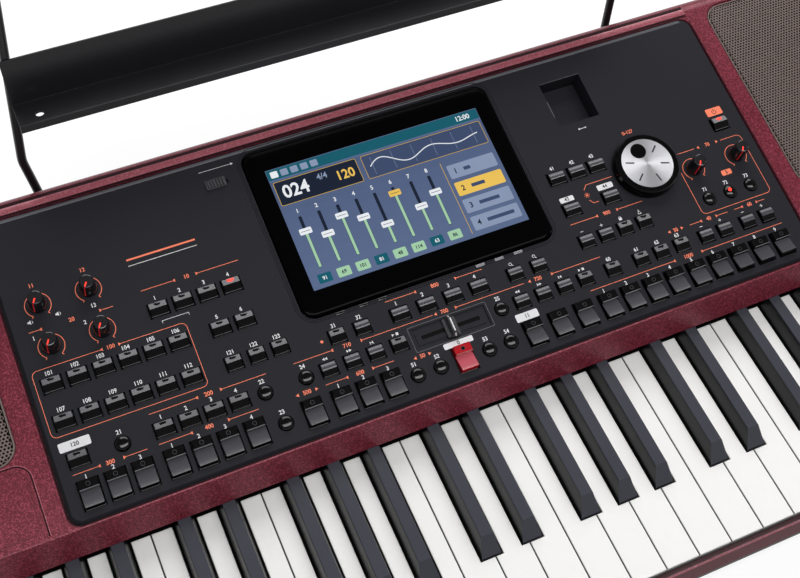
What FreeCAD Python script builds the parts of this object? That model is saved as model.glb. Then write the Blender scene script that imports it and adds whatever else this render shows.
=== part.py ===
import FreeCAD, Part
import math
import os
import Sketcher

# An arranger keyboard with 61 keys, a sloping control panel and a music stand.
# Millimetres, +X along the keys to the treble end, +Y to the rear, +Z up.
# The origin is under the middle of the whole instrument, stand included.

doc = FreeCAD.newDocument("arranger_keyboard")
sheet = doc.addObject("Spreadsheet::Sheet", "sizes")

# Driving dimensions

SIZES = {
    # case
    "bass_cheek": 127.5,
    "treble_cheek": 52.5,
    "rear_strip": 18.1,
    "foot_high": 6.0,
    "foot_radius": 11.0,
    "foot_inset": 60.0,
    "tray_high": 16.0,
    "tray_thick": 3.0,
    "tray_inset": 2.0,
    "wall_thick": 3.0,
    "cover_thick": 3.0,
    # the covers lie a little below the panel's face
    "cover_proud": -0.8,
    "lip_set": 146.2,
    "lip_top": 4.4,
    "lip_lean": 11.4,
    "lip_drop": 18.0,
    "lip_thick": 3.0,
    "lip_round": 1.6,
    "rear_round": 11.0,
    "nose_round": 7.0,
    "seam_gap": 0.1,
    "rear_panel_high": 78.0,
    "rear_panel_thick": 2.5,
    "slip_thick": 4.2,
    "slip_below_key": 3.0,
    "slip_wall": 3.0,
    "slip_round": 1.4,
    "cheek_gap": 2.0,
    # control panel
    "panel_tilt": 10.8,
    "panel_rise": 31.3,
    "panel_field": 172.0,
    "panel_behind": 5.6,
    "panel_side": 2.8,
    "panel_front": 7.0,
    "panel_thick": 3.0,
    "panel_round": 7.5,
    "panel_gap": 0.35,
    "panel_bevel": 1.8,
    "panel_ledge": 4.0,
    # keys
    "key_top": 56.0,
    "key_pitch": 23.5,
    "key_gap": 0.6,
    "key_front_set": 5.0,
    "white_head": 48.0,
    "white_thick": 14.0,
    "key_wall": 2.2,
    "key_roof": 3.2,
    "key_round": 0.9,
    "black_rise": 11.5,
    "black_slope": 11.8,
    "black_under_lip": 4.0,
    "black_round": 0.8,
    "notch_gap": 1.1,
    "tail_start": 22.0,
    "pivot_set": 52.0,
    "pivot_below_top": 8.5,
    "pivot_radius": 2.0,
    "tail_end": 7.0,
    "run_gap": 0.08,
    "frame_rise": 10.0,
    "frame_thick": 2.5,
    "frame_front_set": 6.0,
    "stop_rail_wide": 14.0,
    "stop_rail_high": 9.5,
    "comb_thick": 1.8,
    "comb_deep": 14.0,
    "strip_wide": 26.0,
    "strip_thick": 1.6,
    "dome_radius": 4.0,
    "dome_high": 10.5,
    "strip_set": 14.0,
    "spring_radius": 2.2,
    "spring_set": 32.0,
    "spring_gap": 1.3,
    # buttons
    "cap_gap": 0.4,
    "cap_deep": 9.8,
    "cap_high": 3.5,
    "cap_rear": 2.5,
    "cap_low": 1.5,
    "tier_deep": 18.0,
    "tier_rear_deep": 6.4,
    "tier_rear_high": 4.6,
    "tier_front_high": 3.7,
    "tier_pad_low": 1.6,
    "tier_step": 1.0,
    "round_radius": 4.7,
    "round_high": 2.4,
    "round_soft": 1.2,
    "cap_under": 5.0,
    "cap_travel": 1.2,
    "switch_wide": 6.0,
    "switch_spare": 0.5,
    "board_drop": 11.0,
    "board_thick": 1.6,
    "post_radius": 2.5,
    # knobs, dial, fader and lock
    "knob_radius": 5.8,
    "knob_top_radius": 4.5,
    "knob_high": 12.5,
    "knob_float": 1.0,
    "shaft_radius": 3.0,
    "shaft_gap": 0.35,
    "shaft_drop": 9.0,
    "pot_wide": 11.0,
    "pointer_wide": 1.2,
    "pointer_deep": 0.7,
    "dial_radius": 23.2,
    "dial_top_radius": 21.8,
    "dial_high": 7.2,
    "dial_float": 0.8,
    "dial_cap_radius": 18.6,
    "dial_cap_thick": 0.9,
    "dimple_radius": 5.0,
    "dimple_deep": 1.6,
    "dimple_across": -2.2,
    "dimple_up": 10.4,
    "fader_well_wide": 17.0,
    "fader_well_deep": 1.6,
    "fader_slot_wide": 3.6,
    "fader_cap_long": 9.0,
    "fader_cap_wide": 14.4,
    "fader_cap_high": 7.0,
    "fader_stem_wide": 2.6,
    "fader_stem_long": 7.0,
    "lock_long": 14.0,
    "lock_wide": 7.0,
    "lock_high": 2.6,
    "lock_travel": 5.0,
    "lock_stem_long": 6.0,
    "lock_stem_wide": 2.4,
    "slide_float": 0.3,
    # display
    "screen_wide": 154.6,
    "screen_deep": 90.0,
    "bezel_side": 12.2,
    "bezel_front": 80.2,
    "bezel_below": 16.5,
    "bezel_behind": 16.3,
    "bezel_thick": 3.0,
    "bezel_proud": 1.3,
    "bezel_round": 9.0,
    "bezel_edge": 2.2,
    "bezel_gap": 0.7,
    "bezel_swing": 0.6,
    "screen_lap": 2.8,
    "screen_thick": 1.9,
    "screen_spare": 0.25,
    "shell_inset": 2.5,
    "shell_deep": 14.0,
    "shell_wall": 2.0,
    "hinge_back": 4.5,
    "hinge_drop": 1.5,
    "hinge_radius": 1.3,
    "hinge_lug_wide": 6.0,
    "hinge_lug_deep": 12.0,
    "hinge_lug_drop": 5.0,
    # memory-stick well
    "well_drop": 13.0,
    "well_wall": 1.6,
    "stick_port_wide": 14.5,
    "stick_port_high": 7.0,
    "stick_port_long": 12.0,
    "stick_port_wall": 0.7,
    "stick_port_proud": 1.2,
    # grilles and speakers
    "grille_side": 12.7,
    "grille_end": 16.0,
    "grille_front": 55.0,
    "grille_behind": 3.4,
    "grille_thick": 1.2,
    "grille_round": 13.0,
    "grille_gap": 0.6,
    "speaker_radius": 57.0,
    "speaker_flange": 8.0,
    "speaker_flange_thick": 3.0,
    "speaker_drop": 8.0,
    "basket_low_radius": 26.0,
    "basket_deep": 30.0,
    "basket_wall": 2.0,
    "magnet_radius": 34.0,
    "magnet_deep": 14.0,
    # joystick and switches on the bass cheek
    "groove_front": 9.0,
    "groove_deep": 41.0,
    "groove_wide": 1.4,
    "groove_cut": 0.6,
    "ball_radius": 29.0,
    "ball_drop": 21.0,
    "ball_low": 5.0,
    "ball_gap": 0.9,
    "stick_radius": 4.5,
    "stick_high": 30.0,
    "stick_knob_radius": 8.5,
    "stick_knob_high": 14.0,
    "stick_set": 78.0,
    "ring_inner": 31.5,
    "ring_thick": 4.0,
    "ring_high": 7.0,
    "pin_radius": 2.0,
    "pin_long": 7.0,
    "pin_air": 0.6,
    "bracket_thick": 4.5,
    "bracket_wide": 11.0,
    # rear sockets
    "jack_radius": 3.25,
    "jack_nut_radius": 6.0,
    "jack_nut_thick": 2.0,
    "jack_wide": 14.0,
    "jack_long": 26.0,
    "jack_bore": 22.0,
    "jack_up": 34.0,
    "jack_start": -215.0,
    "jack_pitch": 26.0,
    "din_radius": 8.2,
    "din_long": 14.0,
    "din_wall": 1.2,
    "din_start": -20.0,
    "din_pitch": 28.0,
    "usb_wide": 12.0,
    "usb_high": 11.0,
    "usb_long": 16.0,
    "usb_wall": 0.8,
    "usb_across": 78.0,
    "inlet_wide": 27.5,
    "inlet_high": 20.0,
    "inlet_long": 26.0,
    "inlet_wall": 2.5,
    "inlet_cavity": 17.0,
    "inlet_across": 190.0,
    "inlet_flange": 4.0,
    "inlet_flange_thick": 2.0,
    "inlet_blade_wide": 4.0,
    "inlet_blade_thick": 2.0,
    "inlet_blade_long": 12.0,
    "inlet_blade_pitch": 8.0,
    "fit_gap": 0.25,
    # boards inside
    "main_board_wide": 300.0,
    "main_board_deep": 100.0,
    "main_board_left": -245.0,
    "main_board_lift": 8.0,
    "chip_wide": 24.0,
    "chip_high": 4.0,
    "supply_wide": 105.0,
    "supply_deep": 80.0,
    "supply_high": 34.0,
    "supply_across": 185.0,
    "inner_rear_set": 44.0,
    # screws
    "screw_radius": 1.5,
    "screw_head_radius": 3.0,
    "screw_head_thick": 1.6,
    "screw_gap": 0.15,
    "screw_long": 12.0,
    "leg_wide": 12.0,
    # music stand
    "stand_back": 75.2,
    "rod_radius": 3.0,
    "rod_air": 4.5,
    "rod_inset": 47.3,
    "rod_bow": 4.0,
    "rod_close": 20.5,
    "rod_bow_up": 62.0,
    "rod_bend": 26.0,
    "stand_lean": 14.0,
    "socket_up": 44.0,
    "socket_high": 26.0,
    "socket_wall": 4.0,
    "socket_floor": 4.0,
    "tray_fold_up": 106.0,
    "tray_back_high": 33.0,
    "tray_ledge_deep": 31.2,
    "tray_sheet": 1.2,
    "tray_hem": 5.0,
    "tray_air": 0.5,
    "tray_hole_radius": 2.6,
    "tray_hole_inset": 14.0,
    # one overrun for every cut
    "overrun": 2.0,
}

# Rows of buttons: where the first one stands and how far apart they are, as
# shares of the panel's width from its middle and of its depth from its front.
ROWS = {
    "mode": {"group": "mode_buttons", "kind": "wedge", "count": 4,
             "across_share": -0.329828, "up_share": 0.551587, "pitch_share": 0.030402},
    "global": {"group": "mode_buttons", "kind": "wedge", "count": 2,
               "across_share": -0.269216, "up_share": 0.428572, "pitch_share": 0.030402},
    "style_upper": {"group": "style_buttons", "kind": "wedge", "count": 6,
                    "across_share": -0.471893, "up_share": 0.428572, "pitch_share": 0.030210},
    "style_lower": {"group": "style_buttons", "kind": "wedge", "count": 6,
                    "across_share": -0.471893, "up_share": 0.309027, "pitch_share": 0.030210},
    "chord": {"group": "style_buttons", "kind": "wedge", "count": 1,
              "across_share": -0.470363, "up_share": 0.185516, "pitch_share": 0.030210},
    "bass": {"group": "pad_buttons", "kind": "small", "count": 3,
             "across_share": -0.269407, "up_share": 0.307540, "pitch_share": 0.028872},
    "pad": {"group": "pad_buttons", "kind": "wedge", "count": 4,
            "across_share": -0.370172, "up_share": 0.186012, "pitch_share": 0.030210},
    "intro": {"group": "arranger_buttons", "kind": "tier", "count": 3,
              "across_share": -0.468834, "up_share": 0.075892, "pitch_share": 0.031358},
    "variation": {"group": "arranger_buttons", "kind": "tier", "count": 4,
                  "across_share": -0.369025, "up_share": 0.075892, "pitch_share": 0.031931},
    "break": {"group": "arranger_buttons", "kind": "tier", "count": 1,
              "across_share": -0.201912, "up_share": 0.075892, "pitch_share": 0.031931},
    "ending": {"group": "arranger_buttons", "kind": "tier", "count": 3,
               "across_share": -0.164436, "up_share": 0.075892, "pitch_share": 0.031931},
    "start_stop": {"group": "start_stop_button", "kind": "tier", "count": 1,
                   "across_share": -0.006501, "up_share": 0.075892, "pitch_share": 0.031931},
    "setting": {"group": "library_buttons", "kind": "tier", "count": 3,
                "across_share": 0.089866, "up_share": 0.075892, "pitch_share": 0.036138},
    "library": {"group": "library_buttons", "kind": "tier", "count": 9,
                "across_share": 0.197514, "up_share": 0.075892, "pitch_share": 0.032562},
    "record": {"group": "player_buttons", "kind": "small", "count": 2,
               "across_share": -0.142256, "up_share": 0.280754, "pitch_share": 0.032696},
    "keyboard_set": {"group": "player_buttons", "kind": "wedge", "count": 4,
                     "across_share": -0.059273, "up_share": 0.282242, "pitch_share": 0.035755},
    "search": {"group": "player_buttons", "kind": "small", "count": 2,
               "across_share": 0.099235, "up_share": 0.282738, "pitch_share": 0.033461},
    "first_player": {"group": "player_buttons", "kind": "small", "count": 4,
                     "across_share": -0.166922, "up_share": 0.188492, "pitch_share": 0.030402},
    "second_player": {"group": "player_buttons", "kind": "small", "count": 4,
                      "across_share": 0.091778, "up_share": 0.187500, "pitch_share": 0.030210},
    "lyrics": {"group": "menu_buttons", "kind": "wedge", "count": 3,
               "across_share": 0.208795, "up_share": 0.554068, "pitch_share": 0.029350},
    "exit": {"group": "menu_buttons", "kind": "wedge", "count": 2,
             "across_share": 0.208604, "up_share": 0.430556, "pitch_share": 0.057744},
    "tempo": {"group": "menu_buttons", "kind": "small", "count": 4,
              "across_share": 0.207266, "up_share": 0.308532, "pitch_share": 0.028489},
    "split": {"group": "transpose_buttons", "kind": "small", "count": 1,
              "across_share": 0.222753, "up_share": 0.188492, "pitch_share": 0.028681},
    "scan": {"group": "transpose_buttons", "kind": "small", "count": 3,
             "across_share": 0.264436, "up_share": 0.188492, "pitch_share": 0.030402},
    "octave": {"group": "transpose_buttons", "kind": "small", "count": 2,
               "across_share": 0.363289, "up_share": 0.188492, "pitch_share": 0.028681},
    "transpose": {"group": "transpose_buttons", "kind": "small", "count": 2,
                  "across_share": 0.427533, "up_share": 0.188492, "pitch_share": 0.029828},
    "power": {"group": "power_button", "kind": "wedge", "count": 1,
              "across_share": 0.462333, "up_share": 0.560516, "pitch_share": 0.028681},
    "to_keys": {"group": "round_buttons", "kind": "round", "count": 1,
                "across_share": -0.419503, "up_share": 0.185516, "pitch_share": 0.028681},
    "pad_stop": {"group": "round_buttons", "kind": "round", "count": 1,
                 "across_share": -0.247610, "up_share": 0.186508, "pitch_share": 0.028681},
    "auto_fill": {"group": "round_buttons", "kind": "round", "count": 1,
                  "across_share": -0.238050, "up_share": 0.075397, "pitch_share": 0.028681},
    "first_select": {"group": "round_buttons", "kind": "round", "count": 1,
                     "across_share": -0.195985, "up_share": 0.188492, "pitch_share": 0.028681},
    "second_select": {"group": "round_buttons", "kind": "round", "count": 1,
                      "across_share": 0.063098, "up_share": 0.187004, "pitch_share": 0.028681},
    "synchro": {"group": "round_buttons", "kind": "round", "count": 2,
                "across_share": -0.069025, "up_share": 0.075397, "pitch_share": 0.030402},
    "fade": {"group": "round_buttons", "kind": "round", "count": 2,
             "across_share": 0.026960, "up_share": 0.075397, "pitch_share": 0.029446},
    "harmony": {"group": "round_buttons", "kind": "round", "count": 3,
                "across_share": 0.394264, "up_share": 0.310516, "pitch_share": 0.032314},
}

# Turning knobs, the dial, the fader and the display lock, by the same shares
SPOTS = {
    "bass_volume_knob": {"across_share": -0.459273, "up_share": 0.686012},
    "low_eq_knob": {"across_share": -0.398853, "up_share": 0.686012},
    "mid_eq_knob": {"across_share": -0.459273, "up_share": 0.546131},
    "high_eq_knob": {"across_share": -0.398853, "up_share": 0.546131},
    "voice_level_knob": {"across_share": 0.394455, "up_share": 0.431548},
    "master_volume_knob": {"across_share": 0.461185, "up_share": 0.431548},
    "value_dial": {"across_share": 0.328872, "up_share": 0.491071},
    "fader": {"across_share": -0.006501, "up_share": 0.186508},
    "display_lock": {"across_share": -0.210899, "up_share": 0.901786},
}
KNOBS = [name for name in SPOTS if name.endswith("_knob")]

# Counts and shares
OCTAVES = 5
WHITE_KEYS = 36
JACKS = 6
DINS = 3
HALF_SHARE = 0.5
SWITCH_SPOTS = 3
LEG_SHARES = (0.0, 1.0 / 3.0, 2.0 / 3.0, 1.0)
POST_SHARES = (0.507, 0.66, 0.97)
CHIP_SHARES = (0.3, 0.5, 0.7)
BLACK_WIDE_SHARE = 0.5617
BLACK_TOP_SHARE = 0.3450
PAIR_SHIFT_SHARE = 0.0979
TRIPLE_SHIFT_SHARE = 0.1447
TAIL_WIDE_SHARE = 0.3404
CAP_WIDE_SHARE = 0.024092
SMALL_WIDE_SHARE = 0.020650
TIER_WIDE_SHARE = 0.024857
FADER_WELL_SHARE = 0.105163
FADER_TRAVEL_SHARE = 0.068834
# The memory-stick well's ends, as shares of the panel's width and depth
WELL_ACROSS_SHARES = (0.246654, 0.307075)
WELL_UP_SHARES = (0.766865, 0.940476)


def all_sizes():
    """Every driving dimension, the rows and the spots included."""
    table = dict(SIZES)
    for name, row in ROWS.items():
        for part in ("across_share", "up_share", "pitch_share"):
            table[name + "_" + part] = row[part]
    for name, spot in SPOTS.items():
        for part in ("across_share", "up_share"):
            table[name + "_" + part] = spot[part]
    return table


class Size:
    """A number that also carries the sheet formula it comes from."""

    def __init__(self, formula, value):
        self.formula = formula
        self.value = value

    def joined(self, sign, other, value):
        return Size("(" + self.formula + sign + sized(other).formula + ")", value)

    def __add__(self, other):
        return self.joined(" + ", other, self.value + sized(other).value)

    def __radd__(self, other):
        return sized(other) + self

    def __sub__(self, other):
        return self.joined(" - ", other, self.value - sized(other).value)

    def __rsub__(self, other):
        return sized(other) - self

    def __mul__(self, other):
        return self.joined(" * ", other, self.value * sized(other).value)

    def __rmul__(self, other):
        return sized(other) * self

    def __truediv__(self, other):
        return self.joined(" / ", other, self.value / sized(other).value)

    def __neg__(self):
        return Size("(0 - " + self.formula + ")", -self.value)


def sized(thing):
    """A plain number as a Size."""
    if isinstance(thing, Size):
        return thing
    return Size(repr(float(thing)), float(thing))


def sine(angle):
    return Size("sin(" + angle.formula + ")", math.sin(math.radians(angle.value)))


def cosine(angle):
    return Size("cos(" + angle.formula + ")", math.cos(math.radians(angle.value)))


class Sizes:
    """The driving dimensions by name."""


s = Sizes()
for line, (name, number) in enumerate(all_sizes().items(), 1):
    sheet.set("A%d" % line, name)
    sheet.set("B%d" % line, str(number))
    sheet.setAlias("B%d" % line, name)
    setattr(s, name, Size("sizes." + name, number))
doc.recompute()

ZERO = sized(0)

# Derived places

TILT_COS = cosine(s.panel_tilt)
TILT_SIN = sine(s.panel_tilt)
BEZEL_WIDE = s.screen_wide + s.bezel_side * 2
BEZEL_DEEP = s.bezel_below + s.screen_deep + s.bezel_behind
SCREEN_FRONT = s.bezel_front + s.bezel_below
PANEL_WIDE = BEZEL_WIDE + s.panel_field * 2
PANEL_DEEP = s.bezel_front + BEZEL_DEEP + s.panel_behind - s.panel_front
CENTER_WIDE = PANEL_WIDE + s.panel_side * 2
CASE_WIDE = s.key_pitch * WHITE_KEYS + s.cheek_gap * 2 + s.bass_cheek + s.treble_cheek
CASE_DEEP = s.lip_set + (s.panel_front + PANEL_DEEP) * TILT_COS + s.rear_strip
FRONT = -(CASE_DEEP + s.stand_back) / 2
REAR = FRONT + CASE_DEEP
LIP = FRONT + s.lip_set
HALF = CASE_WIDE / 2
SLOPE_Z = s.key_top + s.panel_rise
COVER_LOW = s.foot_high + s.tray_high
FLOOR = s.foot_high + s.tray_thick
CHEEK_LEFT = -HALF + s.bass_cheek
CHEEK_RIGHT = HALF - s.treble_cheek
KEY_LEFT = CHEEK_LEFT + s.cheek_gap
KEY_RIGHT = CHEEK_RIGHT - s.cheek_gap
OCTAVE = s.key_pitch * 7
BLACK_WIDE = s.key_pitch * BLACK_WIDE_SHARE
BLACK_TOP_WIDE = s.key_pitch * BLACK_TOP_SHARE
PAIR_SHIFT = s.key_pitch * PAIR_SHIFT_SHARE
TRIPLE_SHIFT = s.key_pitch * TRIPLE_SHIFT_SHARE
TAIL_WIDE = s.key_pitch * TAIL_WIDE_SHARE
KEY_FRONT = FRONT + s.key_front_set
PIVOT_Y = LIP + s.pivot_set
PIVOT_Z = s.key_top - s.pivot_below_top
CAP_WIDE = PANEL_WIDE * CAP_WIDE_SHARE
SMALL_WIDE = PANEL_WIDE * SMALL_WIDE_SHARE
TIER_WIDE = PANEL_WIDE * TIER_WIDE_SHARE
FADER_WELL_LONG = PANEL_WIDE * FADER_WELL_SHARE
FADER_TRAVEL = PANEL_WIDE * FADER_TRAVEL_SHARE
WELL_X = tuple(PANEL_WIDE * share for share in WELL_ACROSS_SHARES)
WELL_Y = tuple(PANEL_DEEP * share for share in WELL_UP_SHARES)
GRILLE_DEEP = s.panel_front + PANEL_DEEP + s.grille_behind - s.grille_front
ROD_FOOT_HALF = CENTER_WIDE / 2 - s.rod_inset
ROD_BOW_HALF = ROD_FOOT_HALF + s.rod_bow
ROD_TOP_HALF = ROD_FOOT_HALF - s.rod_close
TRAY_HALF_WIDE = ROD_FOOT_HALF - s.tray_air
REAR_LOW = COVER_LOW + s.rear_panel_high


def slope_point(up, out):
    """Case coordinates of a point up the panel slope and out of it."""
    y = LIP + up * TILT_COS - out * TILT_SIN
    z = SLOPE_Z + up * TILT_SIN + out * TILT_COS
    return (y, z)


def slope_top(y, out):
    """Height of the panel slope, lifted by out, at a case depth y."""
    return SLOPE_Z + (y - LIP) * TILT_SIN / TILT_COS + out / TILT_COS


def across(name):
    """Place from left to right on the panel."""
    return PANEL_WIDE * getattr(s, name + "_across_share")


def up(name):
    """Place up the slope."""
    return s.panel_front + PANEL_DEEP * getattr(s, name + "_up_share")


# Building blocks


def bind(thing, **values):
    """Bind properties to sheet formulas."""
    for name, value in values.items():
        thing.setExpression(name, sized(value).formula)


def move(thing, x=ZERO, y=ZERO, z=ZERO):
    """Bind a place."""
    for letter, value in (("x", x), ("y", y), ("z", z)):
        thing.setExpression("Placement.Base." + letter, sized(value).formula)
    return thing


def turned(thing, axis, angle, y, z):
    """Turn a thing about an axis along X, then move it.

    A thing that has a place of its own is held in a group that turns.
    """
    if thing.TypeId.startswith("Part::") and thing.ExpressionEngine:
        if any(path.startswith(("Placement", ".Placement")) for path, text in thing.ExpressionEngine):
            thing = group(thing.Name + "_held", [thing])
    turn = FreeCAD.Rotation(axis, angle.value)
    thing.Placement = FreeCAD.Placement(FreeCAD.Vector(0, 0, 0), turn)
    thing.setExpression("Placement.Rotation.Angle", angle.formula)
    return move(thing, ZERO, y, z)


def on_slope(thing):
    """Lay a thing drawn flat onto the panel slope."""
    return turned(thing, FreeCAD.Vector(1, 0, 0), s.panel_tilt, LIP, SLOPE_Z)


def box(name, x_range, y_range, z_range):
    """A block between pairs of places."""
    block = doc.addObject("Part::Box", name)
    bind(block, Length=x_range[1] - x_range[0], Width=y_range[1] - y_range[0],
         Height=z_range[1] - z_range[0])
    return move(block, x_range[0], y_range[0], z_range[0])


def about(middle, size):
    """A range of the given size about its middle."""
    middle = sized(middle)
    return (middle - size / 2, middle + size / 2)


def round_bar(name, radius, x, y, z_range):
    """An upright cylinder."""
    bar = doc.addObject("Part::Cylinder", name)
    bind(bar, Radius=radius, Height=z_range[1] - z_range[0])
    return move(bar, x, y, z_range[0])


def cone(name, low_radius, high_radius, x, y, z_range):
    """An upright frustum."""
    bar = doc.addObject("Part::Cone", name)
    bind(bar, Radius1=low_radius, Radius2=high_radius, Height=z_range[1] - z_range[0])
    return move(bar, x, y, z_range[0])


def bar_along_x(name, radius, x_range, y, z):
    """A cylinder lying along X."""
    bar = doc.addObject("Part::Cylinder", name)
    bind(bar, Radius=radius, Height=x_range[1] - x_range[0])
    turn = FreeCAD.Rotation(FreeCAD.Vector(0, 1, 0), 90)
    bar.Placement = FreeCAD.Placement(FreeCAD.Vector(0, 0, 0), turn)
    return move(bar, x_range[0], y, z)


def bar_along_y(name, radius, x, y_range, z):
    """A cylinder lying along Y."""
    bar = doc.addObject("Part::Cylinder", name)
    bind(bar, Radius=radius, Height=y_range[1] - y_range[0])
    turn = FreeCAD.Rotation(FreeCAD.Vector(1, 0, 0), -90)
    bar.Placement = FreeCAD.Placement(FreeCAD.Vector(0, 0, 0), turn)
    return move(bar, x, y_range[0], z)


def fused(name, things):
    """One solid out of several."""
    if len(things) == 1:
        return things[0]
    whole = doc.addObject("Part::MultiFuse", name)
    whole.Shapes = things
    whole.Refine = True
    return whole


def cut(name, base, tools):
    """A base with tools taken away."""
    result = doc.addObject("Part::Cut", name)
    result.Base = base
    result.Tool = tools[0] if len(tools) == 1 else group(name + "_tools", tools)
    result.Refine = True
    return result


def group(name, things):
    """Several solids kept apart in one object."""
    whole = doc.addObject("Part::Compound", name)
    whole.Links = things
    return whole


def origin_feature(body, role):
    return [item for item in body.Origin.OriginFeatures if item.Role == role][0]


def new_body(name):
    body = doc.addObject("PartDesign::Body", name)
    body.AllowCompound = True
    return body


def new_sketch(body, plane, lift=ZERO):
    """A sketch on one of the body's own planes, lifted off it."""
    drawing = body.newObject("Sketcher::SketchObject", body.Name + "_sketch")
    drawing.AttachmentSupport = [(origin_feature(body, plane), "")]
    drawing.MapMode = "FlatFace"
    drawing.setExpression("AttachmentOffset.Base.z", sized(lift).formula)
    return drawing


def pin_down(drawing, kind, index, place, value):
    """Fix one coordinate of a sketch point to a formula."""
    rule = Sketcher.Constraint(kind, -1, 1, index, place, float(sized(value).value))
    number = drawing.addConstraint(rule)
    drawing.setExpression("Constraints[%d]" % number, sized(value).formula)


def draw_outline(drawing, corners):
    """A closed outline through corners."""
    start = drawing.GeometryCount
    points = [FreeCAD.Vector(sized(a).value, sized(b).value, 0) for a, b in corners]
    total = len(points)
    for index in range(total):
        side = Part.LineSegment(points[index], points[(index + 1) % total])
        drawing.addGeometry(side, False)
    for index in range(total):
        follow = start + (index + 1) % total
        drawing.addConstraint(Sketcher.Constraint("Coincident", start + index, 2, follow, 1))
    for index, (a, b) in enumerate(corners):
        pin_down(drawing, "DistanceX", start + index, 1, a)
        pin_down(drawing, "DistanceY", start + index, 1, b)


def draw_circle(drawing, a, b, radius):
    """A circle about a point."""
    index = drawing.GeometryCount
    middle = FreeCAD.Vector(sized(a).value, sized(b).value, 0)
    ring = Part.Circle(middle, FreeCAD.Vector(0, 0, 1), sized(radius).value)
    drawing.addGeometry(ring, False)
    pin_down(drawing, "DistanceX", index, 3, a)
    pin_down(drawing, "DistanceY", index, 3, b)
    rule = Sketcher.Constraint("Radius", index, sized(radius).value)
    number = drawing.addConstraint(rule)
    drawing.setExpression("Constraints[%d]" % number, sized(radius).formula)


def pad(body, drawing, length, both_ways=False):
    """Pull a sketch out into a solid."""
    feature = body.newObject("PartDesign::Pad", body.Name + "_pad")
    feature.Profile = drawing
    if both_ways:
        feature.SideType = "Symmetric"
    bind(feature, Length=length)
    body.Tip = feature
    doc.recompute()
    return feature


def pocket(body, drawing, length, both_ways=False, backwards=False):
    """Push a sketch into a solid."""
    feature = body.newObject("PartDesign::Pocket", body.Name + "_pocket")
    feature.Profile = drawing
    if both_ways:
        feature.SideType = "Symmetric"
    feature.Reversed = backwards
    bind(feature, Length=length)
    body.Tip = feature
    doc.recompute()
    return feature


def near(first, second):
    """Whether two numbers are the same to a hundredth."""
    hundredth = 0.01
    return abs(first - second) < hundredth


def round_edges(body, radius, picks):
    """Round the edges of the body's tip that a test picks."""
    tip = body.Tip
    names = ["Edge%d" % (n + 1) for n, edge in enumerate(tip.Shape.Edges) if picks(edge)]
    feature = body.newObject("PartDesign::Fillet", body.Name + "_round")
    feature.Base = (tip, names)
    bind(feature, Radius=radius)
    body.Tip = feature
    doc.recompute()
    return feature


def corner_picks(plane, corners):
    """A test for the edges that stand on given outline corners."""
    spots = [(sized(a).value, sized(b).value) for a, b in corners]
    first, second = {"YZ_Plane": (1, 2), "XY_Plane": (0, 1)}[plane]

    def picks(edge):
        ends = [vertex.Point for vertex in edge.Vertexes]
        for a, b in spots:
            if all(near(end[first], a) and near(end[second], b) for end in ends):
                return True
        return False

    return picks


def prism(name, plane, corners, start, length, rounds=()):
    """An outline pulled out from a start plane, with some corners rounded.

    Each round is a radius and the numbers of its corners.
    """
    body = new_body(name)
    drawing = new_sketch(body, plane, start)
    draw_outline(drawing, corners)
    pad(body, drawing, length)
    for radius, numbers in rounds:
        round_edges(body, radius, corner_picks(plane, [corners[n] for n in numbers]))
    return body


def rectangle(x_range, y_range):
    """The four corners of a rectangle."""
    return [(x_range[0], y_range[0]), (x_range[1], y_range[0]),
            (x_range[1], y_range[1]), (x_range[0], y_range[1])]


def rounded_plate(name, x_range, y_range, z_range, radius):
    """A plate with four round corners."""
    return prism(name, "XY_Plane", rectangle(x_range, y_range), z_range[0],
                 z_range[1] - z_range[0], [(radius, (0, 1, 2, 3))])


def repeat(body, pitch, count):
    """Copies of a body's whole shape along X."""
    if count == 1:
        return body
    copies = body.newObject("PartDesign::LinearPattern", body.Name + "_copies")
    copies.Originals = [body.Tip]
    copies.Direction = (origin_feature(body, "X_Axis"), [""])
    copies.TransformMode = "Whole shape"
    copies.Mode = "Spacing"
    bind(copies, Offset=pitch)
    copies.Occurrences = count
    body.Tip = copies
    doc.recompute()
    return body


NODES = {}


def node(name, thing):
    """Name a finished sub-part."""
    thing.Label = name
    NODES[name] = thing
    return thing


# Case: tray, feet, covers, key slip and rear panel


def make_tray():
    x_range = (-HALF + s.tray_inset, HALF - s.tray_inset)
    y_range = (FRONT + s.tray_inset, REAR - s.tray_inset)
    outer = box("tray_outer", x_range, y_range, (s.foot_high, COVER_LOW))
    inner = box("tray_inner", (x_range[0] + s.wall_thick, x_range[1] - s.wall_thick),
                (y_range[0] + s.wall_thick, y_range[1] - s.wall_thick),
                (FLOOR, COVER_LOW + s.overrun))
    holes = [round_bar("tray_hole", s.screw_radius + s.screw_gap, x, y,
                       (s.foot_high - s.overrun, FLOOR + s.overrun))
             for x, y in screw_spots()]
    node("bottom_case", cut("tray_cut", outer, [inner] + holes))


def screw_spots():
    """Where the keybed's legs are screwed to the tray."""
    places = []
    for share in LEG_SHARES:
        x = KEY_LEFT + s.leg_wide + (KEY_RIGHT - KEY_LEFT - s.leg_wide * 2) * share
        places.append((x, KEY_FRONT + s.leg_wide))
        places.append((x, PIVOT_Y + s.leg_wide / 2))
    return places


def make_feet():
    feet = []
    for x in (-HALF + s.foot_inset, HALF - s.foot_inset):
        for y in (FRONT + s.foot_inset, REAR - s.foot_inset):
            feet.append(round_bar("foot", s.foot_radius, x, y, (ZERO, s.foot_high)))
    node("rubber_feet", group("feet", feet))


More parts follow.
